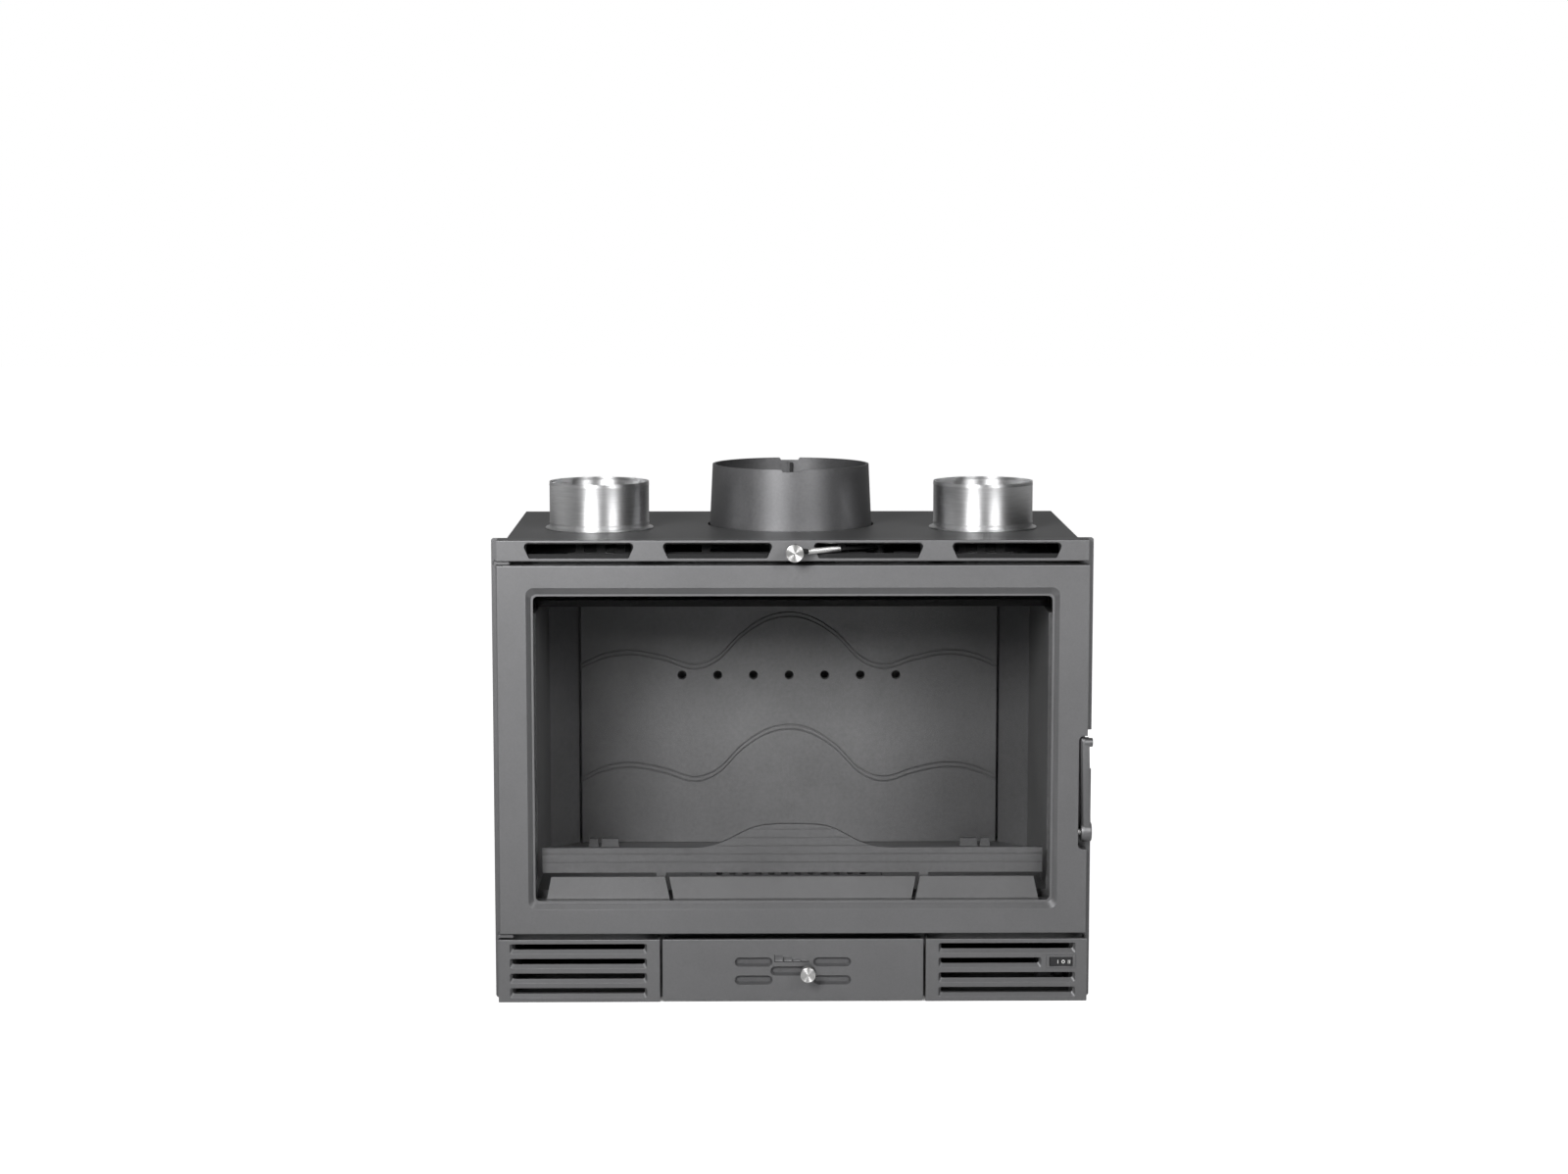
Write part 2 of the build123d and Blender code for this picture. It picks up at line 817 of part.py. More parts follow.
switch_x = (switch_left + switch_right) / 2
switch_z = (switch_low + switch_high) / 2
rocker_half_high = 5.2
switch_body_in = 22
well_half = 13.8
with BuildPart() as switch_bezel:
    with BuildSketch(facing(-1.5)):
        round_patch(switch_left, switch_right, switch_low, switch_high, 1)
    extrude(amount=-1.5)
    with BuildSketch(facing(0)):
        patch(switch_left + 2.1, switch_right - 2.1, switch_low + 1.6, switch_high - 1.6)
    extrude(amount=-switch_body_in)
    with BuildSketch(facing(-1.5)):
        well_low = switch_z - rocker_half_high - play
        patch(switch_x - well_half, switch_x + well_half, well_low, 2 * switch_z - well_low)
    extrude(amount=-switch_body_in + 4, mode=Mode.SUBTRACT)
    with BuildSketch(level(switch_z - rocker_half_high - 0.8)):
        with Locations((switch_x, back(1))):
            Circle(1.55)
    extrude(amount=2 * rocker_half_high + 1.6, mode=Mode.SUBTRACT)
save("switch_bezel", switch_bezel.part)

with BuildPart() as switch_rocker:
    with BuildSketch(level(switch_z - rocker_half_high)):
        with Locations((switch_x, back(1))):
            Circle(rocker_radius)
        Polygon(
            (switch_x - 15, back(-2.8)),
            (switch_x, back(-1.4)),
            (switch_x + 15, back(-2.8)),
            (switch_x + 15, back(9)),
            (switch_x - 15, back(9)),
            mode=Mode.INTERSECT,
        )
    extrude(amount=2 * rocker_half_high)
    with BuildSketch(level(switch_z - rocker_half_high - 0.7)):
        with Locations((switch_x, back(1))):
            Circle(1.5)
    extrude(amount=2 * rocker_half_high + 1.4)
save("switch_rocker", switch_rocker.part)

# Ash drawer: bay, pan, front with its air slide

bay_back_in = pan_back_in + 12
runner_wide = 8
with BuildPart() as drawer_bay:
    for side in (-1, 1):
        with BuildSketch(across(side * bay_half)):
            patch(back(firebox_front_in), back(bay_back_in), base_sheet, plenum_high - plenum_sheet)
        extrude(amount=-side * casing_sheet)
    with BuildSketch(facing(bay_back_in)):
        patch(-bay_half, bay_half, base_sheet, plenum_high - plenum_sheet)
    extrude(amount=-casing_sheet)
    for side in (-1, 1):
        with BuildSketch(level(base_sheet)):
            middle = side * (bay_half - 4 - runner_wide)
            patch(middle - runner_wide, middle + runner_wide, back(firebox_front_in), back(bay_back_in))
        extrude(amount=pan_low - base_sheet - play)
save("drawer_bay", drawer_bay.part)

# The pan is a folded tray with an end plate spot-welded to it at the front and at the back
weld_seam = 0.05
with BuildPart() as ash_pan:
    tray_front_in = pan_front_in + pan_sheet + weld_seam
    tray_back_in = pan_back_in - pan_sheet - weld_seam
    with BuildSketch(facing(tray_front_in)):
        inner = pan_half - pan_sheet
        patch(-pan_half, pan_half, pan_low, pan_high)
        patch(-inner, inner, pan_low + pan_sheet, pan_high, Mode.SUBTRACT)
    extrude(amount=tray_front_in - tray_back_in)
    for end_in in (pan_front_in, pan_back_in - pan_sheet):
        with BuildSketch(facing(end_in)):
            patch(-pan_half, pan_half, pan_low, pan_high)
        extrude(amount=-pan_sheet)
save("ash_pan", ash_pan.part)

drawer_low = 1.5


def air_slot_cut(middle_x, middle_z, long):
    """One round-ended slot with a sunk bevel."""
    with BuildPart(mode=Mode.PRIVATE) as cut:
        with BuildSketch(facing(0)):
            with Locations((middle_x, middle_z)):
                SlotOverall(long, air_slot_high)
        with BuildSketch(facing(face_sheet - 1.5)):
            with Locations((middle_x, middle_z)):
                SlotOverall(long - 5, air_slot_high - 5)
        loft(ruled=True)
        with BuildSketch(facing(face_sheet - 1.5)):
            with Locations((middle_x, middle_z)):
                SlotOverall(long - 5, air_slot_high - 5)
        extrude(amount=-1.5)
    return cut.part


with BuildPart() as drawer_front:
    with BuildSketch(facing(0)):
        patch(-drawer_half, drawer_half, drawer_low, row_height)
    extrude(amount=-face_sheet)
    for side in (-1, 1):
        with BuildSketch(facing(face_sheet)):
            patch(side * (pan_half - casing_sheet), side * pan_half, pan_low, pan_high)
        extrude(amount=face_sheet - pan_front_in)
    side_slot_x = air_slot_start + air_slot_long / 2
    for side in (-1, 1):
        for row in (air_row_high, air_row_low):
            add(air_slot_cut(side * side_slot_x, row, air_slot_long), mode=Mode.SUBTRACT)
    add(air_slot_cut(0, air_middle, 2 * air_middle_half), mode=Mode.SUBTRACT)
    fillet(drawer_front.edges().filter_by(Axis.X).group_by(Axis.Y)[0].sort_by(Axis.Z)[-1], 0.8)
save("drawer_front", drawer_front.part)

shutter_low = 17
shutter_high = 56
shutter_sheet = 2
shutter_in = face_sheet + play
shutter_left = -75
shutter_right = 110
guide_half = 118
with BuildPart() as shutter_guides:
    for inner, outer in ((shutter_high + play, shutter_high + 5), (shutter_low - play, shutter_low - 5)):
        with BuildSketch(facing(face_sheet)):
            patch(-guide_half, guide_half, inner, outer)
        extrude(amount=-shutter_sheet - 2 * play)
        lip = inner - 3 if inner < outer else inner + 3
        with BuildSketch(facing(face_sheet + shutter_sheet + 2 * play)):
            patch(-guide_half, guide_half, lip, outer)
        extrude(amount=-1.5)
save("shutter_guides", shutter_guides.part)

window_long = air_travel
window_high = air_slot_high
with BuildPart() as air_shutter:
    with BuildSketch(facing(shutter_in)):
        patch(shutter_left, shutter_right, shutter_low, shutter_high)
        for middle_x in (-air_slot_start + air_travel / 2, air_slot_start + air_slot_long + air_travel / 2):
            for row in (air_row_high, air_row_low):
                patch(
                    middle_x - window_long / 2,
                    middle_x + window_long / 2,
                    row - window_high / 2 + 1.5,
                    row + window_high / 2 - 1.5,
                    Mode.SUBTRACT,
                )
    extrude(amount=-shutter_sheet)
save("air_shutter", air_shutter.part)

knob_front = -22
knob_back = -7
with BuildPart() as air_knob:
    with BuildSketch(facing(knob_front)):
        with Locations((air_knob_x, air_middle)):
            Circle(air_knob_radius)
    extrude(amount=knob_front - knob_back)
    with BuildSketch(facing(knob_back)):
        with Locations((air_knob_x, air_middle)):
            Circle(2.5)
    extrude(amount=knob_back - shutter_in)
    chamfer(air_knob.faces().sort_by(Axis.Y)[0].edges(), 0.8)
save("air_knob", air_knob.part)

# Flue damper: bush, spindle, rod with its lever, knob and blade

with BuildPart() as damper_bush:
    with BuildSketch(level(shell_top)):
        with Locations((spindle_x, back(spindle_in))):
            Circle(bush_radius)
    extrude(amount=firebox_top_thick + 4)
    with BuildSketch(level(firebox_high)):
        with Locations((spindle_x, back(spindle_in))):
            RegularPolygon(12, 6)
    extrude(amount=8)
    with BuildSketch(level(shell_top)):
        with Locations((spindle_x, back(spindle_in))):
            Circle(spindle_radius + pin_play)
    extrude(amount=firebox_top_thick + 12, mode=Mode.SUBTRACT)
save("damper_bush", damper_bush.part)

lever_low = rod_height - 2
lever_thick = 4
spindle_top = lever_low + lever_thick + 4
with BuildPart() as damper_spindle:
    with BuildSketch(level(blade_high)):
        with Locations((spindle_x, back(spindle_in))):
            Circle(spindle_radius)
    extrude(amount=spindle_top - blade_high)
save("damper_spindle", damper_spindle.part)

rod_end_x = 56
rod_end_in = 20.3
rod_start_x = 17.5
rod_start_in = -12
damper_knob_x = 1.6
damper_knob_radius = 10.35
damper_knob_front = -28
damper_knob_back = -16
rod_run = hypot(rod_end_x - rod_start_x, rod_end_in - rod_start_in)
rod_x_dir = (rod_end_x - rod_start_x) / rod_run
rod_y_dir = (rod_end_in - rod_start_in) / rod_run
lever_angle = degrees(atan2(spindle_in - 24, spindle_x - rod_end_x))
with BuildPart() as damper_rod:
    with BuildSketch(level(lever_low)):
        with Locations((rod_end_x, back(rod_end_in + 3))):
            Rectangle(10, 10, rotation=lever_angle)
    extrude(amount=8)
    with BuildSketch(level(lever_low)):
        with Locations(((spindle_x + rod_end_x) / 2, back((spindle_in + 24) / 2))):
            Rectangle(hypot(spindle_x - rod_end_x, spindle_in - 24), 10, rotation=lever_angle)
        with Locations((spindle_x, back(spindle_in))):
            Circle(9)
    extrude(amount=lever_thick)
    with BuildSketch(Plane(
        origin=(rod_end_x, back(rod_end_in), rod_height),
        z_dir=(-rod_x_dir, -rod_y_dir, 0),
    )):
        Circle(rod_radius)
    extrude(amount=rod_run + 4)
    with BuildSketch(facing(damper_knob_back)):
        with Locations((damper_knob_x, rod_height)):
            Circle(rod_radius)
    extrude(amount=damper_knob_back - rod_start_in)
    with BuildSketch(across(damper_knob_x)):
        with Locations((back(rod_start_in), rod_height)):
            Circle(rod_radius)
    extrude(amount=rod_start_x - damper_knob_x)
    with BuildSketch(level(lever_low)):
        with Locations((spindle_x, back(spindle_in))):
            Circle(spindle_radius)
    extrude(amount=lever_thick, mode=Mode.SUBTRACT)
    with BuildSketch(facing(damper_knob_front)):
        with Locations((damper_knob_x, rod_height)):
            Circle(damper_knob_radius + 2)
    extrude(amount=damper_knob_front - damper_knob_back, mode=Mode.SUBTRACT)
save("damper_rod", damper_rod.part)

with BuildPart() as damper_knob:
    with BuildSketch(facing(damper_knob_front)):
        with Locations((damper_knob_x, rod_height - 1)):
            Circle(damper_knob_radius)
    extrude(amount=damper_knob_front - damper_knob_back)
    chamfer(damper_knob.faces().sort_by(Axis.Y)[0].edges(), 0.8)
save("damper_knob", damper_knob.part)

damper_open = 35
chord_x = -sin(radians(damper_open))
chord_y = -cos(radians(damper_open))
chord_middle = (chord_x * (blade_chord + 50), back(flue_in) + chord_y * (blade_chord + 50))
arm_angle = degrees(atan2(flue_in - spindle_in, -spindle_x))
arm_long = hypot(spindle_x, flue_in - spindle_in) - 60
with BuildPart() as damper_blade:
    with BuildSketch(level(blade_high - blade_thick)):
        with Locations((0, back(flue_in))):
            Circle(blade_radius)
        with Locations(chord_middle):
            Rectangle(100, 300, rotation=90 - damper_open - 180, mode=Mode.SUBTRACT)
        arm_x = spindle_x + cos(radians(arm_angle)) * arm_long / 2
        arm_y = back(spindle_in) + sin(radians(arm_angle)) * arm_long / 2
        with Locations((arm_x, arm_y)):
            Rectangle(arm_long, 16, rotation=arm_angle)
        with Locations((spindle_x, back(spindle_in))):
            Circle(8)
    extrude(amount=blade_thick)
save("damper_blade", damper_blade.part)

# Fans in the bottom side compartments

housing_half = fan_length / 2 + 4
motor_long = 18
impeller_half = fan_length / 2
with BuildPart() as blower_housings:
    for side in (-1, 1):
        for end in (-1, 1):
            with BuildSketch(across(side * fan_x + end * housing_half)):
                patch(back(fan_in - 35), back(fan_in + 35), base_sheet, plenum_high - plenum_sheet)
                with Locations((back(fan_in), fan_height)):
                    Circle(fan_shaft + 1.5, mode=Mode.SUBTRACT)
            extrude(amount=-end * casing_sheet)
        with BuildSketch(across(side * fan_x - housing_half)):
            with Locations((back(fan_in), fan_height)):
                Circle(housing_radius + casing_sheet)
                Circle(housing_radius, mode=Mode.SUBTRACT)
            patch(back(fan_in - 60), back(fan_in - 12), fan_height - 50, fan_height + 60, Mode.SUBTRACT)
            patch(back(fan_in - 60), back(fan_in + 60), fan_height + 20, fan_height + 60, Mode.SUBTRACT)
            patch(back(fan_in + 25.5), back(fan_in + 27.5), fan_height + 19, plenum_high - plenum_sheet)
        extrude(amount=2 * housing_half)
save("blower_housings", blower_housings.part)

motor_radius = 28
with BuildPart() as blower_motors:
    for side in (-1, 1):
        with BuildSketch(across(side * (fan_x + housing_half))):
            with Locations((back(fan_in), fan_height)):
                Circle(motor_radius)
        extrude(amount=side * motor_long)
        with BuildSketch(across(side * (fan_x + housing_half))):
            with Locations((back(fan_in), fan_height)):
                Circle(fan_shaft + pin_play)
        extrude(amount=side * 12, mode=Mode.SUBTRACT)
save("blower_motors", blower_motors.part)

for side, name in ((-1, "blower_impeller_left"), (1, "blower_impeller_right")):
    with BuildPart() as impeller:
        for end in (-1, 1):
            with BuildSketch(across(side * fan_x + end * impeller_half)):
                with Locations((back(fan_in), fan_height)):
                    Circle(fan_radius)
            extrude(amount=-end * 2)
        with BuildSketch(across(side * fan_x - impeller_half)):
            with Locations((back(fan_in), fan_height)):
                Circle(fan_shaft)
                with PolarLocations(fan_radius - 4.5, fan_blades):
                    Rectangle(8, 1, rotation=35)
        extrude(amount=2 * impeller_half)
        with BuildSketch(across(side * (fan_x - housing_half - 3))):
            with Locations((back(fan_in), fan_height)):
                Circle(fan_shaft)
        extrude(amount=side * (2 * housing_half + 3 + 10))
    save(name, impeller.part)

# Electrics: terminal box, cable gland and wiring

box_x = 312
box_front_in = 66
box_back_in = 112
box_high = 30
with BuildPart() as terminal_box:
    with BuildSketch(level(base_sheet)):
        round_patch(box_x - 16, box_x + 16, back(box_front_in), back(box_back_in), 3)
    extrude(amount=box_high - base_sheet)
save("terminal_box", terminal_box.part)

with BuildPart() as cable_gland:
    with BuildSketch(facing(depth - 14)):
        with Locations((gland_x, gland_z)):
            Circle(gland_radius)
    extrude(amount=-26)
    with BuildSketch(facing(depth)):
        with Locations((gland_x, gland_z)):
            RegularPolygon(12, 6)
    extrude(amount=-6)
    with BuildSketch(facing(depth - casing_sheet)):
        with Locations((gland_x, gland_z)):
            RegularPolygon(11.5, 6)
    extrude(amount=4)
    with BuildSketch(facing(depth - 14)):
        with Locations((gland_x, gland_z)):
            Circle(4)
    extrude(amount=-26, mode=Mode.SUBTRACT)
save("cable_gland", cable_gland.part)

wire_radius = 2
motor_front = fan_in - motor_radius
wire_routes = [
    [(box_x, box_front_in, 20), (box_x, 45, 20), (box_x, 45, switch_z), (box_x, switch_body_in, switch_z)],
    [
        (box_x + 4, box_back_in, 12),
        (box_x + 4, motor_front - 40, 12),
        (box_x + 4, motor_front - 40, fan_height),
        (box_x + 4, motor_front, fan_height),
    ],
    [
        (box_x - 8, box_back_in, 12),
        (box_x - 8, 338, 12),
        (-box_x - 4, 338, 12),
        (-box_x - 4, 338, fan_height),
        (-box_x - 4, motor_front, fan_height),
    ],
]
with BuildPart() as wiring_loom:
    for route in wire_routes:
        points = [(x, back(distance), z) for x, distance, z in route]
        with BuildLine() as path:
            FilletPolyline(*points, radius=6)
        with BuildSketch(Plane(origin=path.line @ 0, z_dir=path.line % 0)):
            Circle(wire_radius)
        sweep(path=path.line)
save("wiring_loom", wiring_loom.part)

# Hinges and latch

lower_bracket = door_low - 1 - bracket_sheet
upper_bracket = door_high + 0.5
with BuildPart() as hinge_brackets:
    for low in (lower_bracket, upper_bracket):
        with BuildSketch(level(low)):
            round_patch(-half, -half + bracket_length, back(3), back(flange_in), 2)
            patch(-half, -half + bracket_length, back(flange_in - 6), back(flange_in))
            with Locations((hinge_x, back(hinge_in))):
                Circle(pin_radius, mode=Mode.SUBTRACT)
        extrude(amount=bracket_sheet)
save("hinge_brackets", hinge_brackets.part)

pin_reach = 14
with BuildPart() as hinge_pins:
    with BuildSketch(level(lower_bracket)):
        with Locations((hinge_x, back(hinge_in))):
            Circle(pin_radius)
    extrude(amount=door_low - lower_bracket + pin_reach)
    with BuildSketch(level(lower_bracket + bracket_sheet)):
        with Locations((hinge_x, back(hinge_in))):
            Circle(2 * pin_radius)
    extrude(amount=1 - pin_play)
    with BuildSketch(level(door_high - pin_reach)):
        with Locations((hinge_x, back(hinge_in))):
            Circle(pin_radius)
    extrude(amount=upper_bracket - door_high + bracket_sheet + pin_reach)
save("hinge_pins", hinge_pins.part)

tongue_low = hub_height - 4
striker_sheet = 3
striker_drop = 22
striker_shelf = 10
shelf_drop = 7
pocket_deep = 13
pocket_sheet = 1.5
pocket_rise = 34
with BuildPart() as latch_striker:
    with BuildSketch(across(half - 11.5)):
        striker_in = flange_in + flange_sheet
        striker_high = tongue_low - play
        patch(back(striker_in), back(striker_in + striker_sheet), tongue_low - striker_drop, striker_high)
        patch(back(striker_in), back(striker_in + striker_shelf), tongue_low - shelf_drop, striker_high)
    extrude(amount=11)
    pocket_left = half - 11.5
    pocket_high = hub_height + pocket_rise
    with BuildSketch(facing(striker_in)):
        patch(pocket_left, half - 0.5, striker_high - shelf_drop, pocket_high)
    extrude(amount=-pocket_deep)
    with BuildSketch(facing(striker_in)):
        patch(
            pocket_left + pocket_sheet,
            half - 0.5 - pocket_sheet,
            striker_high,
            pocket_high - pocket_sheet,
        )
    extrude(amount=pocket_sheet - pocket_deep, mode=Mode.SUBTRACT)
save("latch_striker", latch_striker.part)

# Door

boss_long = 18
boss_high = 24
recess_wall = 6
clip_x = [-220, 0, 220]
clip_half = 7
recess_x = half - recess_inset
with BuildPart() as door_frame:
    with BuildSketch(facing(0)):
        patch(-door_half, door_half, door_low, door_high)
        round_patch(-opening_half, opening_half, opening_low, opening_high, 5.5, Mode.SUBTRACT)
    extrude(amount=-door_plate)
    with BuildSketch(facing(door_plate)):
        ring(door_half, door_low, door_high, rim_wall)
        ring(rope_half + rope_wall, rope_low - rope_wall, rope_high + rope_wall, rope_wide + 2 * rope_wall)
        patch(-door_half, -door_half + boss_long, door_low, door_low + boss_high)
        patch(-door_half, -door_half + boss_long, door_high - boss_high, door_high)
        patch(recess_x - recess_wall, door_half, recess_low - recess_wall, recess_high + recess_wall)
    extrude(amount=door_plate - door_depth)
    with BuildSketch(facing(door_plate)):
        for middle_x in clip_x:
            left = middle_x - clip_half
            right = middle_x + clip_half
            patch(left, right, opening_high + glass_lap, rope_high - rope_wide - rope_wall)
            patch(left, right, rope_low + rope_wide + rope_wall, opening_low - glass_lap)
    extrude(amount=door_plate - glass_back_in)
    with BuildSketch(facing(door_depth - rope_seat)):
        ring(rope_half, rope_low, rope_high, rope_wide)
    extrude(amount=-rope_seat, mode=Mode.SUBTRACT)
    with BuildSketch(facing(0)):
        rim = bevel_rim
        round_patch(
            -opening_half - rim - bevel_side,
            opening_half + rim + bevel_side,
            opening_low - rim - bevel_foot,
            opening_high + rim + bevel_head,
            9,
        )
    with BuildSketch(facing(bevel_depth)):
        round_patch(-opening_half - rim, opening_half + rim, opening_low - rim, opening_high + rim, 6.5)
    loft(ruled=True, mode=Mode.SUBTRACT)
    with BuildSketch(facing(0)):
        round_patch(recess_x, half + 20, recess_low, recess_high, 6)
    extrude(amount=-door_depth, mode=Mode.SUBTRACT)
    for low in (door_low, door_high - pin_reach - 1):
        with BuildSketch(level(low)):
            with Locations((hinge_x, back(hinge_in))):
                Circle(pin_radius + pin_play)
        extrude(amount=pin_reach + 1, mode=Mode.SUBTRACT)
    with BuildSketch(across(recess_x - recess_wall)):
        with Locations((back(hinge_in), hub_height)):
            Circle(pivot_radius)
    extrude(amount=recess_wall, mode=Mode.SUBTRACT)
    with BuildSketch(facing(glass_front_in)):
        for middle_x in clip_x:
            with Locations((middle_x, clip_screw_high), (middle_x, clip_screw_low)):
                Circle(1.5)
    extrude(amount=glass_front_in - glass_back_in, mode=Mode.SUBTRACT)
    front_edges = door_frame.edges().group_by(Axis.Y)[0]
    fillet(front_edges.filter_by(Axis.X).sort_by(Axis.Z)[0], 1.5)
    front_edges = door_frame.edges().group_by(Axis.Y)[0]
    fillet(front_edges.filter_by(Axis.X).sort_by(Axis.Z)[-1], 1.5)
    front_edges = door_frame.edges().group_by(Axis.Y)[0]
    fillet(front_edges.filter_by(Axis.Z).sort_by(Axis.X)[0], 1.5)
save("door_frame", door_frame.part)

glass_half = opening_half + glass_lap
glass_low = opening_low - glass_lap
glass_high = opening_high + glass_lap
with BuildPart() as door_glass:
    with BuildSketch(facing(glass_front_in)):
        patch(-glass_half, glass_half, glass_low, glass_high)
    extrude(amount=-glass_sheet)
save("door_glass", door_glass.part)

with BuildPart() as glass_gasket:
    with BuildSketch(facing(door_plate)):
        ring(glass_half, glass_low, glass_high, gasket_wide)
    extrude(amount=-gasket_sheet)
save("glass_gasket", glass_gasket.part)

clip_sheet = 1.5
clip_hold = 4
clip_screw = 1.5
with BuildPart() as glass_clips:
    with BuildSketch(facing(glass_back_in)):
        for middle_x in clip_x:
            left = middle_x - clip_half
            right = middle_x + clip_half
            patch(left, right, glass_high - clip_hold, rope_high - rope_wide - rope_wall)
            patch(left, right, rope_low + rope_wide + rope_wall, glass_low + clip_hold)
            with Locations((middle_x, clip_screw_high), (middle_x, clip_screw_low)):
                Circle(clip_screw, mode=Mode.SUBTRACT)
    extrude(amount=-clip_sheet)
save("glass_clips", glass_clips.part)

with BuildPart() as glass_clip_screws:
    for middle_x in clip_x:
        for middle_z in (clip_screw_high, clip_screw_low):
            with BuildSketch(facing(glass_front_in)):
                with Locations((middle_x, middle_z)):
                    Circle(clip_screw)
            extrude(amount=-glass_sheet - clip_sheet)
            with BuildSketch(facing(glass_back_in + clip_sheet)):
                with Locations((middle_x, middle_z)):
                    Circle(2.4)
            extrude(amount=-1.8)
save("glass_clip_screws", glass_clip_screws.part)

with BuildPart() as door_rope_seal:
    with BuildSketch(facing(door_depth - rope_seat)):
        ring(rope_half, rope_low, rope_high, rope_wide)
    extrude(amount=-rope_deep)
save("door_rope_seal", door_rope_seal.part)

# Handle: pivot pin in the door, lever with its hub, and the latch tongue behind the hub

hub_start = half + hub_left
hub_end = half + hub_right
with BuildPart() as handle_pivot:
    with BuildSketch(across(recess_x - recess_wall)):
        with Locations((back(hinge_in), hub_height)):
            Circle(pivot_radius)
    extrude(amount=hub_end - recess_x + recess_wall)
save("handle_pivot", handle_pivot.part)

tongue_wide = 4
tongue_x = half - 8
tongue_reach = 24
with BuildPart() as handle_lever:
    with BuildSketch(across(hub_start)):
        with Locations((back(hinge_in), hub_height)):
            Circle(hub_radius)
    extrude(amount=hub_end - hub_start)
    with BuildSketch(facing(2)):
        Polygon(
            (half - 9, hub_height),
            (half + 1.4, hub_height),
            (half - 1.4, lever_top),
            (half - 1.4 - lever_wide, lever_top),
        )
    extrude(amount=-9)
    with BuildSketch(across(half - 4)):
        with Locations((back(6.5), lever_top - 5.6)):
            Circle(5.25)
    extrude(amount=7)
    with BuildSketch(across(hub_start)):
        with Locations((back(hinge_in), hub_height)):
            Circle(pivot_radius + pin_play)
    extrude(amount=hub_end - hub_start, mode=Mode.SUBTRACT)
    with BuildSketch(across(tongue_x)):
        patch(back(hinge_in + 7), back(hinge_in + 13), tongue_low, tongue_low + 8)
    extrude(amount=tongue_wide, mode=Mode.SUBTRACT)
save("handle_lever", handle_lever.part)

with BuildPart() as latch_tongue:
    with BuildSketch(across(tongue_x)):
        round_patch(back(hinge_in + 7), back(hinge_in + tongue_reach), tongue_low, tongue_low + 8, 1.5)
    extrude(amount=tongue_wide)
save("latch_tongue", latch_tongue.part)

# Casing screws

with BuildPart() as casing_screws:
    for side in (-1, 1):
        places = [(back(depth - screw_edge), z) for z in rear_screws]
        places += [(back(firebox_front_in + screw_edge), z) for z in front_screws]
        with BuildSketch(across(side * inner_half)):
            with Locations(*places):
                Circle(screw_hole)
        extrude(amount=side * casing_sheet)
        with BuildSketch(across(side * casing_half)):
            with Locations(*places):
                RegularPolygon(screw_head, 6)
        extrude(amount=side * 2.5)
save("casing_screws", casing_screws.part)
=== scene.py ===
import json
import math

import bpy
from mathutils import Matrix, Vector


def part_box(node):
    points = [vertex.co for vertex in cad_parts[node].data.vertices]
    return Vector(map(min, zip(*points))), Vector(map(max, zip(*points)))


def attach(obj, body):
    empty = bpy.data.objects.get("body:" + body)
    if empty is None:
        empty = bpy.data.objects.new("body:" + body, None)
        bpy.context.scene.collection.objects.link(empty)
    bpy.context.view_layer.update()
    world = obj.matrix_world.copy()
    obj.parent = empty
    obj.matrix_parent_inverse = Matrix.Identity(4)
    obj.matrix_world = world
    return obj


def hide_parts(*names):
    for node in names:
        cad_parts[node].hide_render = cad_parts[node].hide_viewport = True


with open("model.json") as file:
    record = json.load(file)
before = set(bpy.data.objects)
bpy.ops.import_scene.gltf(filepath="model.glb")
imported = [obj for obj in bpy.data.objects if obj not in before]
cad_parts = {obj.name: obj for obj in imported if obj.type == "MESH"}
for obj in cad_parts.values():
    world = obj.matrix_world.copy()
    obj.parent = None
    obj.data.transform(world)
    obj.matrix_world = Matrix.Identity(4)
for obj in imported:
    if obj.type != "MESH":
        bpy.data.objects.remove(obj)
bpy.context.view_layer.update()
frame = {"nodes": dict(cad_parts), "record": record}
nodes = frame["nodes"]
print("frame loaded:", len(nodes), "nodes")


# Camera and lights

cameraSetup = {
    "place": (-0.0546, -3.7791, 0.9279),
    "pitch": -6.926,
    "yaw": 0.708,
    "focal": 70.66,
    "sensor": 36,
    "farthest": 50,
}

# Key and fill stand in front. The rear pair lights the edges and shows in no reflection

lightSetup = {
    "key": {
        "place": (-0.9, -2.3, 1.45), "aim": (0.0, -0.2, 0.3), "size": (0.8, 0.8), "watts": 50, "gloss": True,
    },
    "fill": {
        "place": (1.2, -2.2, 1.4), "aim": (0.0, -0.2, 0.3), "size": (0.8, 0.8), "watts": 22, "gloss": True,
    },
    "rearLeft": {
        "place": (-2.0, 1.9, 1.0), "aim": (0.0, 0.1, 0.3), "size": (1.2, 1.2), "watts": 18, "gloss": False,
    },
    "rearRight": {
        "place": (2.0, 1.9, 1.0), "aim": (0.0, 0.1, 0.3), "size": (1.2, 1.2), "watts": 18, "gloss": False,
    },
}


def addCamera(setup):
    data = bpy.data.cameras.new("camera")
    data.sensor_width = setup["sensor"]
    data.lens = setup["focal"]
    data.clip_end = setup["farthest"]
    camera = bpy.data.objects.new("camera", data)
    bpy.context.scene.collection.objects.link(camera)
    camera.location = setup["place"]
    camera.rotation_euler = (math.radians(90 + setup["pitch"]), 0, math.radians(-setup["yaw"]))
    bpy.context.scene.camera = camera


def addLight(name, setup):
    data = bpy.data.lights.new(name, "AREA")
    data.shape = "RECTANGLE"
    data.size, data.size_y = setup["size"]
    data.energy = setup["watts"]
    light = bpy.data.objects.new(name, data)
    bpy.context.scene.collection.objects.link(light)
    light.location = setup["place"]
    away = Vector(setup["aim"]) - Vector(setup["place"])
    light.rotation_euler = away.to_track_quat("-Z", "Y").to_euler()
    light.visible_camera = False
    light.visible_glossy = setup["gloss"]


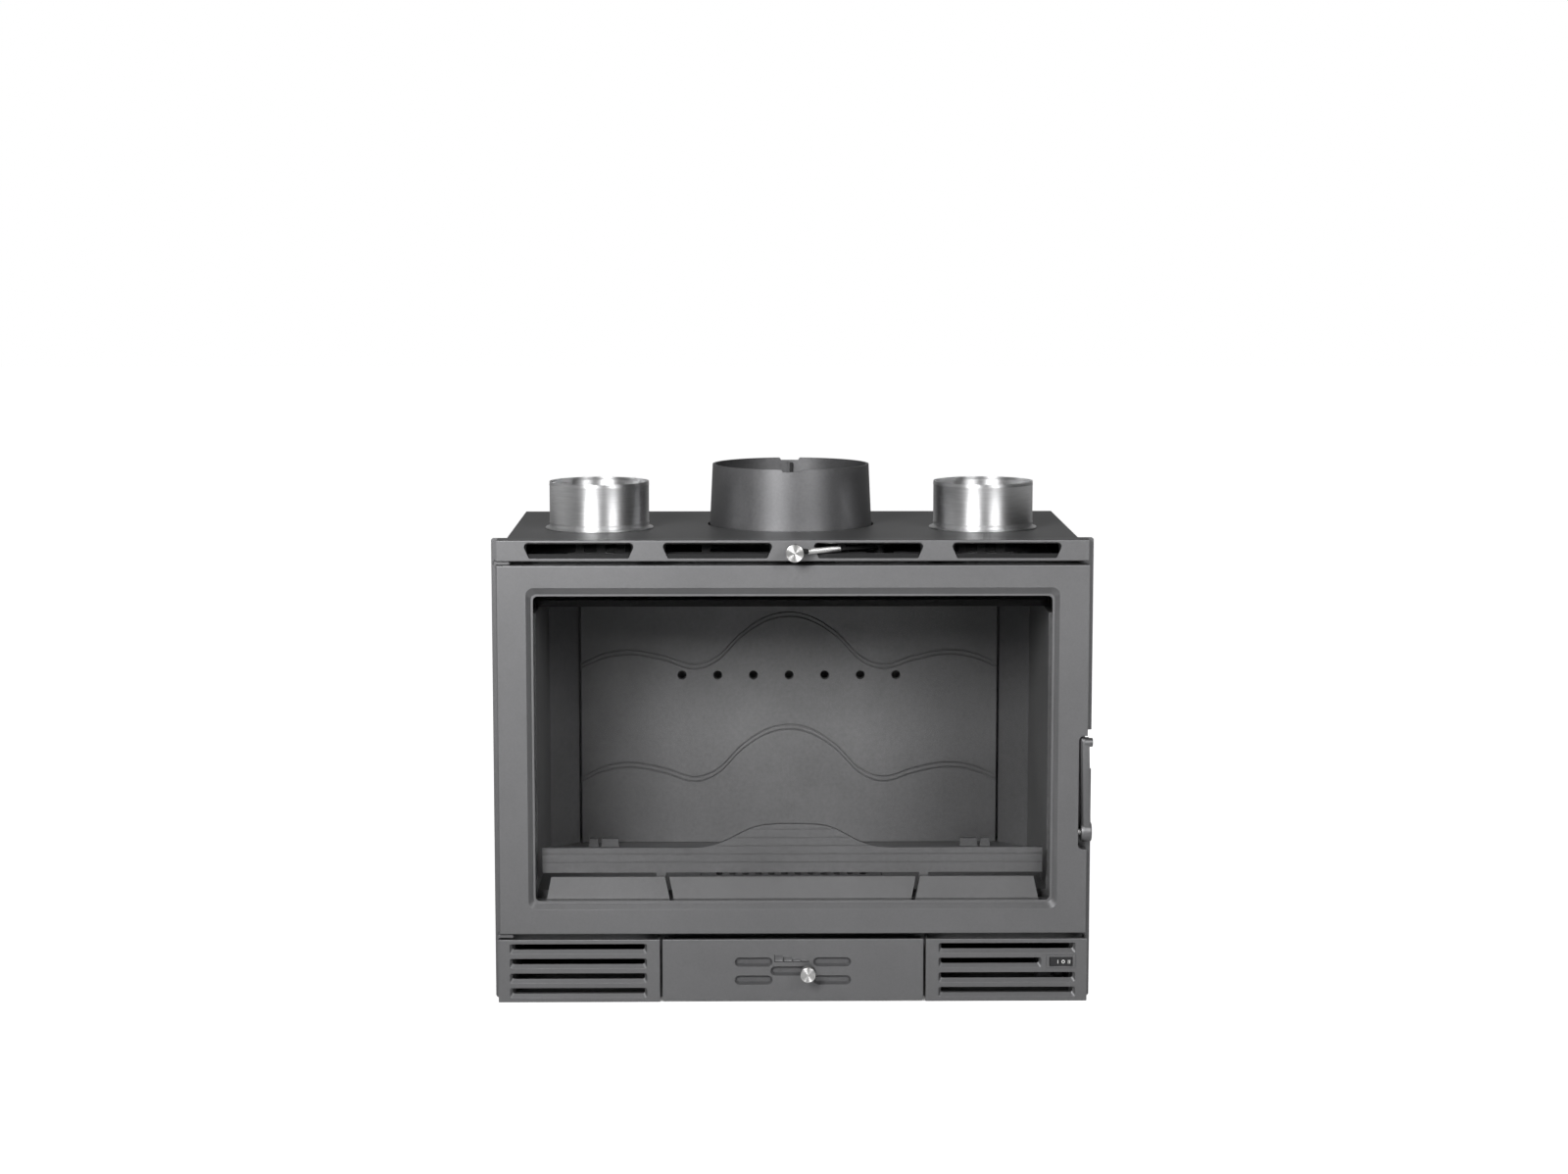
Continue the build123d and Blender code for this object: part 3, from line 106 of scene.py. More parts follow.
addCamera(cameraSetup)
for lightName, setup in lightSetup.items():
    addLight(lightName, setup)
print("camera and", len(lightSetup), "lights placed")


# Node helpers

def newTree(name):
    material = bpy.data.materials.new(name)
    material.use_nodes = True
    material.node_tree.nodes.clear()
    return material, material.node_tree


def put(tree, kind, settings=None, **values):
    node = tree.nodes.new(kind)
    for key, value in (settings or {}).items():
        setattr(node, key, value)
    for key, value in values.items():
        node.inputs[key.replace("_", " ")].default_value = value
    return node


def join(tree, source, target):
    tree.links.new(source, target)


def combine(tree, operation, first, second):
    node = put(tree, "ShaderNodeMath", {"operation": operation})
    join(tree, first, node.inputs[0])
    join(tree, second, node.inputs[1])
    return node.outputs[0]


def blend(tree, factor, first, second):
    mixed = put(tree, "ShaderNodeMixShader")
    join(tree, factor, mixed.inputs["Fac"])
    join(tree, first.outputs[0], mixed.inputs[1])
    join(tree, second.outputs[0], mixed.inputs[2])
    return mixed


def coordinates(tree, scale=(1, 1, 1)):
    texture = put(tree, "ShaderNodeTexCoord")
    mapping = put(tree, "ShaderNodeMapping", Scale=scale)
    join(tree, texture.outputs["Object"], mapping.inputs["Vector"])
    return mapping.outputs["Vector"]


def split(tree, vector):
    node = put(tree, "ShaderNodeSeparateXYZ")
    join(tree, vector, node.inputs["Vector"])
    return node.outputs


def distance(tree, vector):
    node = put(tree, "ShaderNodeVectorMath", {"operation": "LENGTH"})
    join(tree, vector, node.inputs[0])
    return node.outputs["Value"]


def noise(tree, vector, scale, detail, roughness):
    texture = put(tree, "ShaderNodeTexNoise", Scale=scale, Detail=detail, Roughness=roughness)
    join(tree, vector, texture.inputs["Vector"])
    return texture.outputs["Fac"]


def spread(tree, value, low, high, fromLow=0.3, fromHigh=0.7):
    mapped = put(tree, "ShaderNodeMapRange", {"clamp": True})
    mapped.inputs["From Min"].default_value = fromLow
    mapped.inputs["From Max"].default_value = fromHigh
    mapped.inputs["To Min"].default_value = low
    mapped.inputs["To Max"].default_value = high
    join(tree, value, mapped.inputs["Value"])
    return mapped.outputs["Result"]


def grey(tree, value):
    colour = put(tree, "ShaderNodeCombineColor")
    for channel in ("Red", "Green", "Blue"):
        join(tree, value, colour.inputs[channel])
    return colour.outputs["Color"]


def tint(tree, colour, factor):
    mixed = put(tree, "ShaderNodeMix", {"data_type": "RGBA", "blend_type": "MULTIPLY"})
    mixed.inputs["Factor"].default_value = 1
    mixed.inputs["A"].default_value = (*colour, 1)
    join(tree, grey(tree, factor), mixed.inputs["B"])
    return mixed.outputs["Result"]


def seenDirectly(tree, path):
    return combine(tree, "MAXIMUM", path.outputs["Is Camera Ray"], path.outputs["Is Transmission Ray"])


def finishShader(tree, shader):
    output = tree.nodes.new("ShaderNodeOutputMaterial")
    join(tree, shader.outputs[0], output.inputs["Surface"])


# Studio: white where the camera looks, a dim room in the metal's reflections, and little light of its own.
# Each spread gives the shades at its two ends, then where the ends lie

white = (1, 1, 1, 1)
studioLook = {
    "ambient": 0.02,
    "behind": (0.02, 0.32, 0.6, 0.97),
    "beside": (0.5, 0.0, -0.98, -0.6),
}

floorLook = {
    "size": 30,
    "below": -0.0005,
    "diffuse": 0.4,
    "glow": (0.93, 1.0, 0.4, 1.4),
    "paintedContactShadow": (0.0, 1.0, 0.02, 0.42),
    "coverReach": 0.06,
    "coverSamples": 8,
    "sheen": 0.2,
}


def buildWorld(look):
    world = bpy.data.worlds.new("studio")
    world.use_nodes = True
    bpy.context.scene.world = world
    tree = world.node_tree
    tree.nodes.clear()
    path = put(tree, "ShaderNodeLightPath")
    dim = put(tree, "ShaderNodeBackground", Color=white, Strength=look["ambient"])
    plain = put(tree, "ShaderNodeBackground", Color=white, Strength=1.0)
    room = put(tree, "ShaderNodeBackground", Strength=1.0)
    direction = split(tree, put(tree, "ShaderNodeTexCoord").outputs["Generated"])
    behind = spread(tree, direction["Y"], *look["behind"])
    beside = spread(tree, direction["X"], *look["beside"])
    join(tree, grey(tree, combine(tree, "MAXIMUM", behind, beside)), room.inputs["Color"])
    unseen = blend(tree, path.outputs["Is Glossy Ray"], dim, room)
    final = blend(tree, seenDirectly(tree, path), unseen, plain)
    output = tree.nodes.new("ShaderNodeOutputWorld")
    join(tree, final.outputs[0], output.inputs["Surface"])


def buildFloor(look):
    bpy.ops.mesh.primitive_plane_add(size=look["size"], location=(0, 0, look["below"]))
    floor = bpy.context.object
    floor.name = "floor"
    material, tree = newTree("paleFloor")
    path = put(tree, "ShaderNodeLightPath")
    diffuse = put(tree, "ShaderNodeBsdfDiffuse", Color=(*[look["diffuse"]] * 3, 1))
    # The glow dims where ambient occlusion finds the object close by: a painted contact shadow under and
    # beside it
    near = put(
        tree, "ShaderNodeAmbientOcclusion", {"samples": look["coverSamples"]}, Distance=look["coverReach"],
    )
    away = spread(tree, distance(tree, coordinates(tree)), *look["glow"])
    paintedContactShadow = spread(tree, near.outputs["AO"], *look["paintedContactShadow"])
    glow = put(tree, "ShaderNodeEmission", Color=white)
    join(tree, combine(tree, "MULTIPLY", away, paintedContactShadow), glow.inputs["Strength"])
    sheen = put(tree, "ShaderNodeEmission", Color=white, Strength=look["sheen"])
    dark = put(tree, "ShaderNodeEmission", Color=(0, 0, 0, 1), Strength=0)
    mirrored = blend(tree, path.outputs["Is Glossy Ray"], dark, sheen)
    shown = blend(tree, seenDirectly(tree, path), mirrored, glow)
    both = put(tree, "ShaderNodeAddShader")
    join(tree, diffuse.outputs[0], both.inputs[0])
    join(tree, shown.outputs[0], both.inputs[1])
    finishShader(tree, both)
    floor.data.materials.append(material)


bpy.context.scene.view_settings.view_transform = "Standard"
buildWorld(studioLook)
buildFloor(floorLook)
print("studio ready")


# Paint and cast iron: mottled, with a fine grain and soft edges

facePaint = {
    "colour": (0.235, 0.235, 0.24), "rough": (0.44, 0.52), "metal": 0.85,
    "mottle": 0.05, "grain": 1500, "height": 0.00004, "edge": 0.0003,
}
paints = {
    "facePaint": facePaint,
    # The band's paint, with painted shade in its slots
    "bandPaint": {**facePaint, "paintsSlotShade": True},
    "sheetPaint": {
        "colour": (0.21, 0.21, 0.215), "rough": (0.46, 0.54), "metal": 0.85,
        "mottle": 0.05, "grain": 1500, "height": 0.00003, "edge": 0.0005,
    },
    "castPaint": {
        "colour": (0.198, 0.198, 0.203), "rough": (0.4, 0.5), "metal": 0.88,
        "mottle": 0.08, "grain": 900, "height": 0.0001, "edge": 0.0002,
    },
    "fireIron": {
        "colour": (0.22, 0.22, 0.224), "rough": (0.5, 0.6), "metal": 0.78,
        "mottle": 0.1, "grain": 700, "height": 0.0001, "edge": 0.0002,
    },
    "paleIron": {
        "colour": (0.205, 0.205, 0.208), "rough": (0.5, 0.6), "metal": 0.75,
        "mottle": 0.08, "grain": 700, "height": 0.0001, "edge": 0.0005,
    },
    # The back lining's iron, with painted shade towards its rim
    "liningIron": {
        "colour": (0.29, 0.29, 0.294), "rough": (0.5, 0.6), "metal": 0.68,
        "mottle": 0.1, "grain": 700, "height": 0.0001, "edge": 0.0003, "paintsRimShade": True,
    },
    "sideIron": {
        "colour": (0.225, 0.225, 0.229), "rough": (0.52, 0.62), "metal": 0.65,
        "mottle": 0.1, "grain": 700, "height": 0.0001, "edge": 0.0003,
    },
    # Near-black iron: painted shade on parts that sit in shadow inside the stove, and on the collar's shadowed
    # groove; also the colour of the scale's dark lines
    "darkIron": {
        "colour": (0.03, 0.03, 0.031), "rough": (0.6, 0.7), "metal": 0.3,
        "mottle": 0.12, "grain": 700, "height": 0.0001, "edge": 0.0005,
    },
    "blackPlastic": {
        "colour": (0.035, 0.035, 0.037), "rough": (0.35, 0.45), "metal": 0.0,
        "mottle": 0.04, "grain": 2500, "height": 0.00002, "edge": 0.0006,
    },
    "motorPaint": {
        "colour": (0.05, 0.05, 0.052), "rough": (0.35, 0.5), "metal": 0.0,
        "mottle": 0.06, "grain": 1200, "height": 0.00003, "edge": 0.0008,
    },
    "wireSleeve": {
        "colour": (0.03, 0.03, 0.03), "rough": (0.5, 0.6), "metal": 0.0,
        "mottle": 0.04, "grain": 1800, "height": 0.00002, "edge": 0.0003,
    },
}
paintBuild = {
    "broad": (7, 4, 0.6), "fine": (2, 0.6), "speck": (3, 0.7), "speckShare": 1 / 3,
    "bump": 0.6, "edgeSamples": 6, "ior": 1.4,
}

# Painted shade on the back lining: a little lighter in the middle and darker towards the rim, where the
# firebox opening shades it

paintedRimShade = {"middle": (0.02, 0.0, 0.255), "size": (1 / 3.9, 1000, 1 / 3.8), "shades": (1.04, 0.6, 0.3, 1.15)}

# Painted shade in the band's slots: the faces set back behind its front and its bottom fold are darker than
# its face. Its top fold isn't

paintedSlotShade = {"inward": (1.0, 0.3, -0.2149, -0.2142), "topFold": (0.0, 1.0, 0.5445, 0.5455)}


def addPaintedRimShade(tree, shade):
    mapping = put(
        tree, "ShaderNodeMapping", {"vector_type": "TEXTURE"},
        Location=paintedRimShade["middle"], Scale=paintedRimShade["size"],
    )
    join(tree, put(tree, "ShaderNodeTexCoord").outputs["Object"], mapping.inputs["Vector"])
    away = distance(tree, mapping.outputs["Vector"])
    return combine(tree, "MULTIPLY", shade, spread(tree, away, *paintedRimShade["shades"]))


def addPaintedSlotShade(tree, shade):
    place = split(tree, put(tree, "ShaderNodeTexCoord").outputs["Object"])
    inward = spread(tree, place["Y"], *paintedSlotShade["inward"])
    topFold = spread(tree, place["Z"], *paintedSlotShade["topFold"])
    return combine(tree, "MULTIPLY", shade, combine(tree, "MAXIMUM", inward, topFold))


def paintMaterial(name, look):
    material, tree = newTree(name)
    place = coordinates(tree)
    low, high = 1 - look["mottle"], 1 + look["mottle"]
    broad = noise(tree, place, *paintBuild["broad"])
    fine = noise(tree, place, look["grain"], *paintBuild["fine"])
    speck = noise(tree, place, look["grain"] * paintBuild["speckShare"], *paintBuild["speck"])
    shade = combine(tree, "MULTIPLY", spread(tree, broad, low, high), spread(tree, speck, low, high))
    # Painted shade towards the rim of the back lining
    if look.get("paintsRimShade"):
        shade = addPaintedRimShade(tree, shade)
    # Painted shade in the band's slots
    if look.get("paintsSlotShade"):
        shade = addPaintedSlotShade(tree, shade)
    edge = put(tree, "ShaderNodeBevel", {"samples": paintBuild["edgeSamples"]}, Radius=look["edge"])
    bump = put(tree, "ShaderNodeBump", Strength=paintBuild["bump"], Distance=look["height"])
    join(tree, fine, bump.inputs["Height"])
    join(tree, edge.outputs[0], bump.inputs["Normal"])
    shader = put(tree, "ShaderNodeBsdfPrincipled", IOR=paintBuild["ior"], Metallic=look["metal"])
    join(tree, tint(tree, look["colour"], shade), shader.inputs["Base Color"])
    join(tree, spread(tree, speck, *look["rough"]), shader.inputs["Roughness"])
    join(tree, bump.outputs[0], shader.inputs["Normal"])
    finishShader(tree, shader)
    return material


# Metals: streaked, and the turned ones stretch a highlight across the tool marks round their axis

metals = {
    "bareSteel": {
        "colour": (0.9, 0.903, 0.908), "rough": (0.44, 0.52), "streak": (45, 45, 900),
        "height": 0.00001, "turned": 0.85, "shades": (0.88, 1.05), "lathe": "Z",
    },
    "turnedFace": {
        "colour": (0.84, 0.835, 0.825), "rough": (0.36, 0.42), "streak": (600, 40, 600),
        "height": 0.000005, "turned": 0.88, "shades": (0.94, 1.03), "lathe": "Y",
    },
    "turnedSteel": {
        "colour": (0.85, 0.845, 0.835), "rough": (0.46, 0.56), "streak": (900, 30, 900),
        "height": 0.00002, "turned": 0.0, "shades": (0.85, 1.05), "lathe": None,
    },
    "dullSteel": {
        "colour": (0.3, 0.298, 0.294), "rough": (0.4, 0.5), "streak": (300, 30, 300),
        "height": 0.00001, "turned": 0.0, "shades": (0.85, 1.05), "lathe": None,
    },
    "threadSteel": {
        "colour": (0.9, 0.895, 0.885), "rough": (0.44, 0.52), "streak": (900, 900, 900),
        "height": 0.00001, "turned": 0.0, "shades": (0.9, 1.05), "lathe": None,
    },
    "zincSheet": {
        "colour": (0.6, 0.61, 0.62), "rough": (0.34, 0.5), "streak": (60, 60, 60),
        "height": 0.00003, "turned": 0.0, "shades": (0.8, 1.08), "lathe": None,
    },
}
metalBuild = {"streak": (1, 5, 0.65), "bump": 0.5, "quarterTurn": 0.25}


def metalMaterial(name, look):
    material, tree = newTree(name)
    streak = noise(tree, coordinates(tree, look["streak"]), *metalBuild["streak"])
    shader = put(tree, "ShaderNodeBsdfPrincipled", Metallic=1.0, Anisotropic=look["turned"])
    if look["lathe"]:
        tangent = put(tree, "ShaderNodeTangent", {"direction_type": "RADIAL", "axis": look["lathe"]})
        join(tree, tangent.outputs[0], shader.inputs["Tangent"])
        shader.inputs["Anisotropic Rotation"].default_value = metalBuild["quarterTurn"]
    join(tree, tint(tree, look["colour"], spread(tree, streak, *look["shades"])), shader.inputs["Base Color"])
    join(tree, spread(tree, streak, *look["rough"]), shader.inputs["Roughness"])
    bump = put(tree, "ShaderNodeBump", Strength=metalBuild["bump"], Distance=look["height"])
    join(tree, streak, bump.inputs["Height"])
    join(tree, bump.outputs[0], shader.inputs["Normal"])
    finishShader(tree, shader)
    return material


# Glass, rope and the white of the switch's marks

glassLook = {
    "clear": (0.95, 0.95, 0.95, 1), "rough": 0.04, "ior": 1.15, "film": (3, 4, 0.6), "filmShare": (0.75, 1.0),
}
ropeLook = {
    "colour": (0.16, 0.16, 0.16), "rough": 0.95,
    "weave": 110, "wander": 1.5, "detail": 2, "weaveShades": (0.55, 1.1, 0, 1),
    "fibre": (900, 3, 0.6), "fibreShades": (0.85, 1.15), "bump": 0.9, "height": 0.0009,
}
markLook = {"colour": (0.9, 0.9, 0.88), "rough": 0.5, "wear": (900, 3, 0.6), "shades": (0.85, 1.05)}


def glassMaterial(look):
    material, tree = newTree("clearGlass")
    clear = put(tree, "ShaderNodeBsdfTransparent", Color=look["clear"])
    gloss = put(tree, "ShaderNodeBsdfGlossy", Color=white, Roughness=look["rough"])
    fresnel = put(tree, "ShaderNodeFresnel", IOR=look["ior"])
    film = noise(tree, coordinates(tree), *look["film"])
    share = combine(tree, "MULTIPLY", fresnel.outputs[0], spread(tree, film, *look["filmShare"]))
    finishShader(tree, blend(tree, share, clear, gloss))
    return material


def ropeMaterial(look):
    material, tree = newTree("glassRope")
    place = coordinates(tree)
    weave = put(
        tree, "ShaderNodeTexWave", {"bands_direction": "DIAGONAL"},
        Scale=look["weave"], Distortion=look["wander"], Detail=look["detail"],
    )
    join(tree, place, weave.inputs["Vector"])
    crossed = spread(tree, weave.outputs["Fac"], *look["weaveShades"])
    fibre = spread(tree, noise(tree, place, *look["fibre"]), *look["fibreShades"])
    bump = put(tree, "ShaderNodeBump", Strength=look["bump"], Distance=look["height"])
    join(tree, weave.outputs["Fac"], bump.inputs["Height"])
    shader = put(tree, "ShaderNodeBsdfPrincipled", Roughness=look["rough"])
    shade = combine(tree, "MULTIPLY", crossed, fibre)
    join(tree, tint(tree, look["colour"], shade), shader.inputs["Base Color"])
    join(tree, bump.outputs[0], shader.inputs["Normal"])
    finishShader(tree, shader)
    return material


def markMaterial(look):
    material, tree = newTree("markWhite")
    wear = spread(tree, noise(tree, coordinates(tree), *look["wear"]), *look["shades"])
    shader = put(tree, "ShaderNodeBsdfPrincipled", Roughness=look["rough"])
    join(tree, tint(tree, look["colour"], wear), shader.inputs["Base Color"])
    finishShader(tree, shader)
    return material


finishes = {name: paintMaterial(name, look) for name, look in paints.items()}
finishes.update({name: metalMaterial(name, look) for name, look in metals.items()})
finishes["clearGlass"] = glassMaterial(glassLook)
finishes["glassRope"] = ropeMaterial(ropeLook)
finishes["markWhite"] = markMaterial(markLook)

slotFinish = {
    "face_paint": "facePaint",
    "sheet_paint": "sheetPaint",
    "cast_paint": "castPaint",
    "fire_iron": "fireIron",
    "bare_steel": "bareSteel",
    "zinc_sheet": "zincSheet",
    "turned_steel": "turnedSteel",
    "motor_paint": "motorPaint",
    "glass": "clearGlass",
    "rope": "glassRope",
    "black_plastic": "blackPlastic",
    "wire_sleeve": "wireSleeve",
}
ownFinish = {
    "bandPaint": ["top_grille"],
    "paleIron": ["sill_centre", "side_sills"],
    "sideIron": ["side_lining_left", "side_lining_right"],
    # Near-black iron on these parts is painted shade: they sit in shadow above the fire and behind the band
    "darkIron": [
        "baffle_plate", "firebox_top", "top_ribs",
        "damper_spindle", "damper_rod", "damper_blade", "damper_bush",
    ],
}
finishOfNode = {name: finish for finish, names in ownFinish.items() for name in names}
slotOfNode = {part["node"]: part["material_slot"] for part in frame["record"]["subparts"]}
for name, node in nodes.items():
    finish = finishOfNode.get(name, slotFinish[slotOfNode[name]])
    node.data.materials.clear()
    node.data.materials.append(finishes[finish])
print("finishes on", len(nodes), "nodes")


# Hand tools for the new pieces

tiny = 0.00001


def clearAll():
    if bpy.context.object and bpy.context.object.mode != "OBJECT":
        bpy.ops.object.mode_set(mode="OBJECT")
    bpy.ops.object.select_all(action="DESELECT")


def only(piece):
    clearAll()
    piece.select_set(True)
    bpy.context.view_layer.objects.active = piece


def unpick(kind):
    bpy.ops.object.mode_set(mode="EDIT")
    bpy.ops.mesh.select_mode(type=kind)
    bpy.ops.mesh.select_all(action="DESELECT")


def pickFaces(piece, wanted):
    unpick("FACE")
    bpy.ops.object.mode_set(mode="OBJECT")
    for face in piece.data.polygons:
        face.select = wanted(face.center, face.normal)
    bpy.ops.object.mode_set(mode="EDIT")


def pickEdges(piece, wanted):
    unpick("EDGE")
    bpy.ops.object.mode_set(mode="OBJECT")
    points = [vertex.co for vertex in piece.data.vertices]
    for edge in piece.data.edges:
        edge.select = wanted(points[edge.vertices[0]], points[edge.vertices[1]])
    bpy.ops.object.mode_set(mode="EDIT")


def apply(piece, name, kind, **settings):
    only(piece)
    modifier = piece.modifiers.new(name, kind)
    for key, value in settings.items():
        setattr(modifier, key, value)
    bpy.ops.object.modifier_apply(modifier=name)


def setDown(piece):
    only(piece)
    bpy.ops.object.transform_apply(location=True, rotation=True, scale=True)


def block(across, depth, height):
    clearAll()
    spans = (across, depth, height)
    bpy.ops.mesh.primitive_cube_add(size=1, location=[sum(span) / 2 for span in spans])
    piece = bpy.context.object
    piece.scale = [span[1] - span[0] for span in spans]
    setDown(piece)
    return piece


def joinUp(first, *others):
    only(first)
    for other in others:
        other.select_set(True)
    bpy.ops.object.join()
    return first


def finished(piece, name, finish, body, slot, *stands, smooth=40):
    setDown(piece)
    bpy.ops.object.shade_smooth_by_angle(angle=math.radians(smooth))
    piece.name = name
    piece.data.name = name
    piece.data.materials.clear()
    piece.data.materials.append(finishes[finish])
    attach(piece, body)
    if stands:
        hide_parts(*stands)
    clearAll()
    print("made", name, len(piece.data.polygons), "faces")
    return piece


def turned(centre, axis, profile, sides):
    step = {"X": Vector((1, 0, 0)), "Y": Vector((0, 1, 0)), "Z": Vector((0, 0, 1))}[axis]
    turn = {"X": (0, math.pi / 2, 0), "Y": (math.pi / 2, 0, 0), "Z": (0, 0, 0)}[axis]
    radius, along = profile[0]
    clearAll()
    place = Vector(centre) + step * along
    bpy.ops.mesh.primitive_circle_add(
        vertices=sides, radius=radius, fill_type="NOTHING", location=place, rotation=turn,
    )
    piece = bpy.context.object
    setDown(piece)
    bpy.ops.object.mode_set(mode="EDIT")
    bpy.ops.mesh.select_all(action="SELECT")
    for nextRadius, nextAlong in profile[1:]:
        bpy.ops.mesh.extrude_region_move(TRANSFORM_OT_translate={"value": step * (nextAlong - along)})
        grow = nextRadius / radius
        size = tuple(1 if step[index] else grow for index in range(3))
        bpy.ops.transform.resize(value=size, center_override=Vector(centre) + step * nextAlong)
        radius, along = nextRadius, nextAlong
    bpy.ops.mesh.select_all(action="SELECT")
    bpy.ops.mesh.remove_doubles(threshold=tiny)
    bpy.ops.mesh.normals_make_consistent(inside=False)
    bpy.ops.object.mode_set(mode="OBJECT")
    return piece


def closeEnds(piece):
    only(piece)
    unpick("EDGE")
    bpy.ops.mesh.select_non_manifold()
    bpy.ops.mesh.edge_face_add()
    bpy.ops.mesh.select_all(action="SELECT")
    bpy.ops.mesh.normals_make_consistent(inside=False)
    bpy.ops.object.mode_set(mode="OBJECT")


# Hot-air sockets: spun sheet with a curled foot, a pressed bead and a rolled rim

hotAirSocket = {
    "sides": 128,
    "smooth": 50,
    "wall": 0.0008,
    "profile": [
        (0.0610, 0.0002), (0.0648, 0.0002), (0.0653, 0.0010), (0.0648, 0.0018), (0.0622, 0.0020),
        (0.0606, 0.0026), (0.0600, 0.0040), (0.0600, 0.0066), (0.0604, 0.0072), (0.0605, 0.0078),
        (0.0604, 0.0084), (0.0600, 0.0090), (0.0600, 0.0520), (0.0603, 0.0526), (0.0603, 0.0534),
        (0.0600, 0.0540), (0.0600, 0.0568),
    ],
}


def buildSocket(node, name):
    low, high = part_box(node)
    centre = ((low.x + high.x) / 2, (low.y + high.y) / 2, low.z)
    piece = turned(centre, "Z", hotAirSocket["profile"], hotAirSocket["sides"])
    apply(piece, "wall", "SOLIDIFY", thickness=hotAirSocket["wall"], offset=-1)
    return finished(piece, name, "bareSteel", "casing", "bare_steel", node, smooth=hotAirSocket["smooth"])


buildSocket("hot_air_outlet_left", "hotAirSocketLeft")
buildSocket("hot_air_outlet_right", "hotAirSocketRight")


# Turned knobs: a faced cap with a fine step and broken edges, on a duller barrel with grip grooves

turnedKnob = {
    "edge": 0.0007,
    "cap": 0.0022,
    "easing": 0.3,
    "faceRings": [
        (0.97, 0.0), (0.955, 0.0001), (0.55, 0.0001), (0.545, 0.00015), (0.12, 0.00015), (0.1, 0.00025),
    ],
    "slim": 0.0004,
    "grooves": 3,
    "groove": 0.00025,
    "sides": 96,
    "smooth": 25,
    "damperStem": 0.0034,
    "airNeck": (0.0042, -0.222),
    "airShaft": (0.0025, -0.2208),
}


def knobCap(centre, radius, front):
    edge, cap = turnedKnob["edge"], turnedKnob["cap"]
    eased = edge * turnedKnob["easing"]
    core = radius - edge
    profile = [(core * share, front + sunk) for share, sunk in reversed(turnedKnob["faceRings"])]
    profile += [(core, front), (radius - eased, front + eased), (radius, front + edge)]
    profile += [(radius, front + cap), (radius - edge, front + cap + eased)]
    piece = turned(centre, "Y", profile, turnedKnob["sides"])
    closeEnds(piece)
    return piece


def knobBarrel(centre, radius, front, back, tail):
    slim, groove, edge = radius - turnedKnob["slim"], turnedKnob["groove"], turnedKnob["edge"]
    start = front + turnedKnob["cap"]
    profile = [(slim, start)]
    for index in range(turnedKnob["grooves"]):
        middle = start + (back - start) * (index + 1) / (turnedKnob["grooves"] + 1)
        profile += [(slim, middle - groove), (slim - groove, middle), (slim, middle + groove)]
    profile += [(slim, back - edge), (slim - edge, back)] + tail
    barrel = turned(centre, "Y", profile, turnedKnob["sides"])
    closeEnds(barrel)
    return barrel


def buildKnob(node, body, back, tail, capName, barrelName):
    low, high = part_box(node)
    radius, smooth = (high.x - low.x) / 2, turnedKnob["smooth"]
    centre = ((low.x + high.x) / 2, 0, (low.z + high.z) / 2)
    barrel = knobBarrel(centre, radius, low.y, high.y if back is None else back, tail(high.y))
    finished(barrel, barrelName, "dullSteel", body, "turned_steel", node, smooth=smooth)
    cap = knobCap(centre, radius, low.y)
    finished(cap, capName, "turnedFace", body, "turned_steel", smooth=smooth)


def damperTail(foot):
    return [(turnedKnob["damperStem"], foot)]


def airTail(foot):
    neck, shaft = turnedKnob["airNeck"], turnedKnob["airShaft"]
    return [neck, shaft, (shaft[0], foot)]


buildKnob("damper_knob", "damper", None, damperTail, "damperKnobFace", "damperKnobBarrel")
buildKnob("air_knob", "air_control", turnedKnob["airNeck"][1], airTail, "airKnobFace", "airKnobBarrel")


# Door handle: a bar with a chamfered inner edge, a barrel hub and a stub

doorHandle = {
    "foot": (0.3410, 0.3514),
    "top": (0.3386, 0.3486),
    "height": (0.2015, 0.3150),
    "depth": (-0.213, -0.204),
    "chamfer": 0.0026,
    "round": (0.0055, 6),
    "broken": 0.0006,
    "sharp": 35,
    "near": 0.0005,
    "hub": [
        (0.00405, 0.3402), (0.0102, 0.3402), (0.0114, 0.3408), (0.01185, 0.3420),
        (0.01185, 0.3511), (0.0114, 0.3523), (0.0102, 0.3529), (0.00405, 0.3529),
    ],
    "hubCentre": (0, -0.203, 0.2015),
    "hubSides": 64,
    "stub": [(0.0006, 0.3440), (0.00525, 0.3440), (0.00525, 0.3522), (0.0045, 0.3530), (0.0006, 0.3530)],
    "stubCentre": (0, -0.2085, 0.3094),
    "stubSides": 40,
}


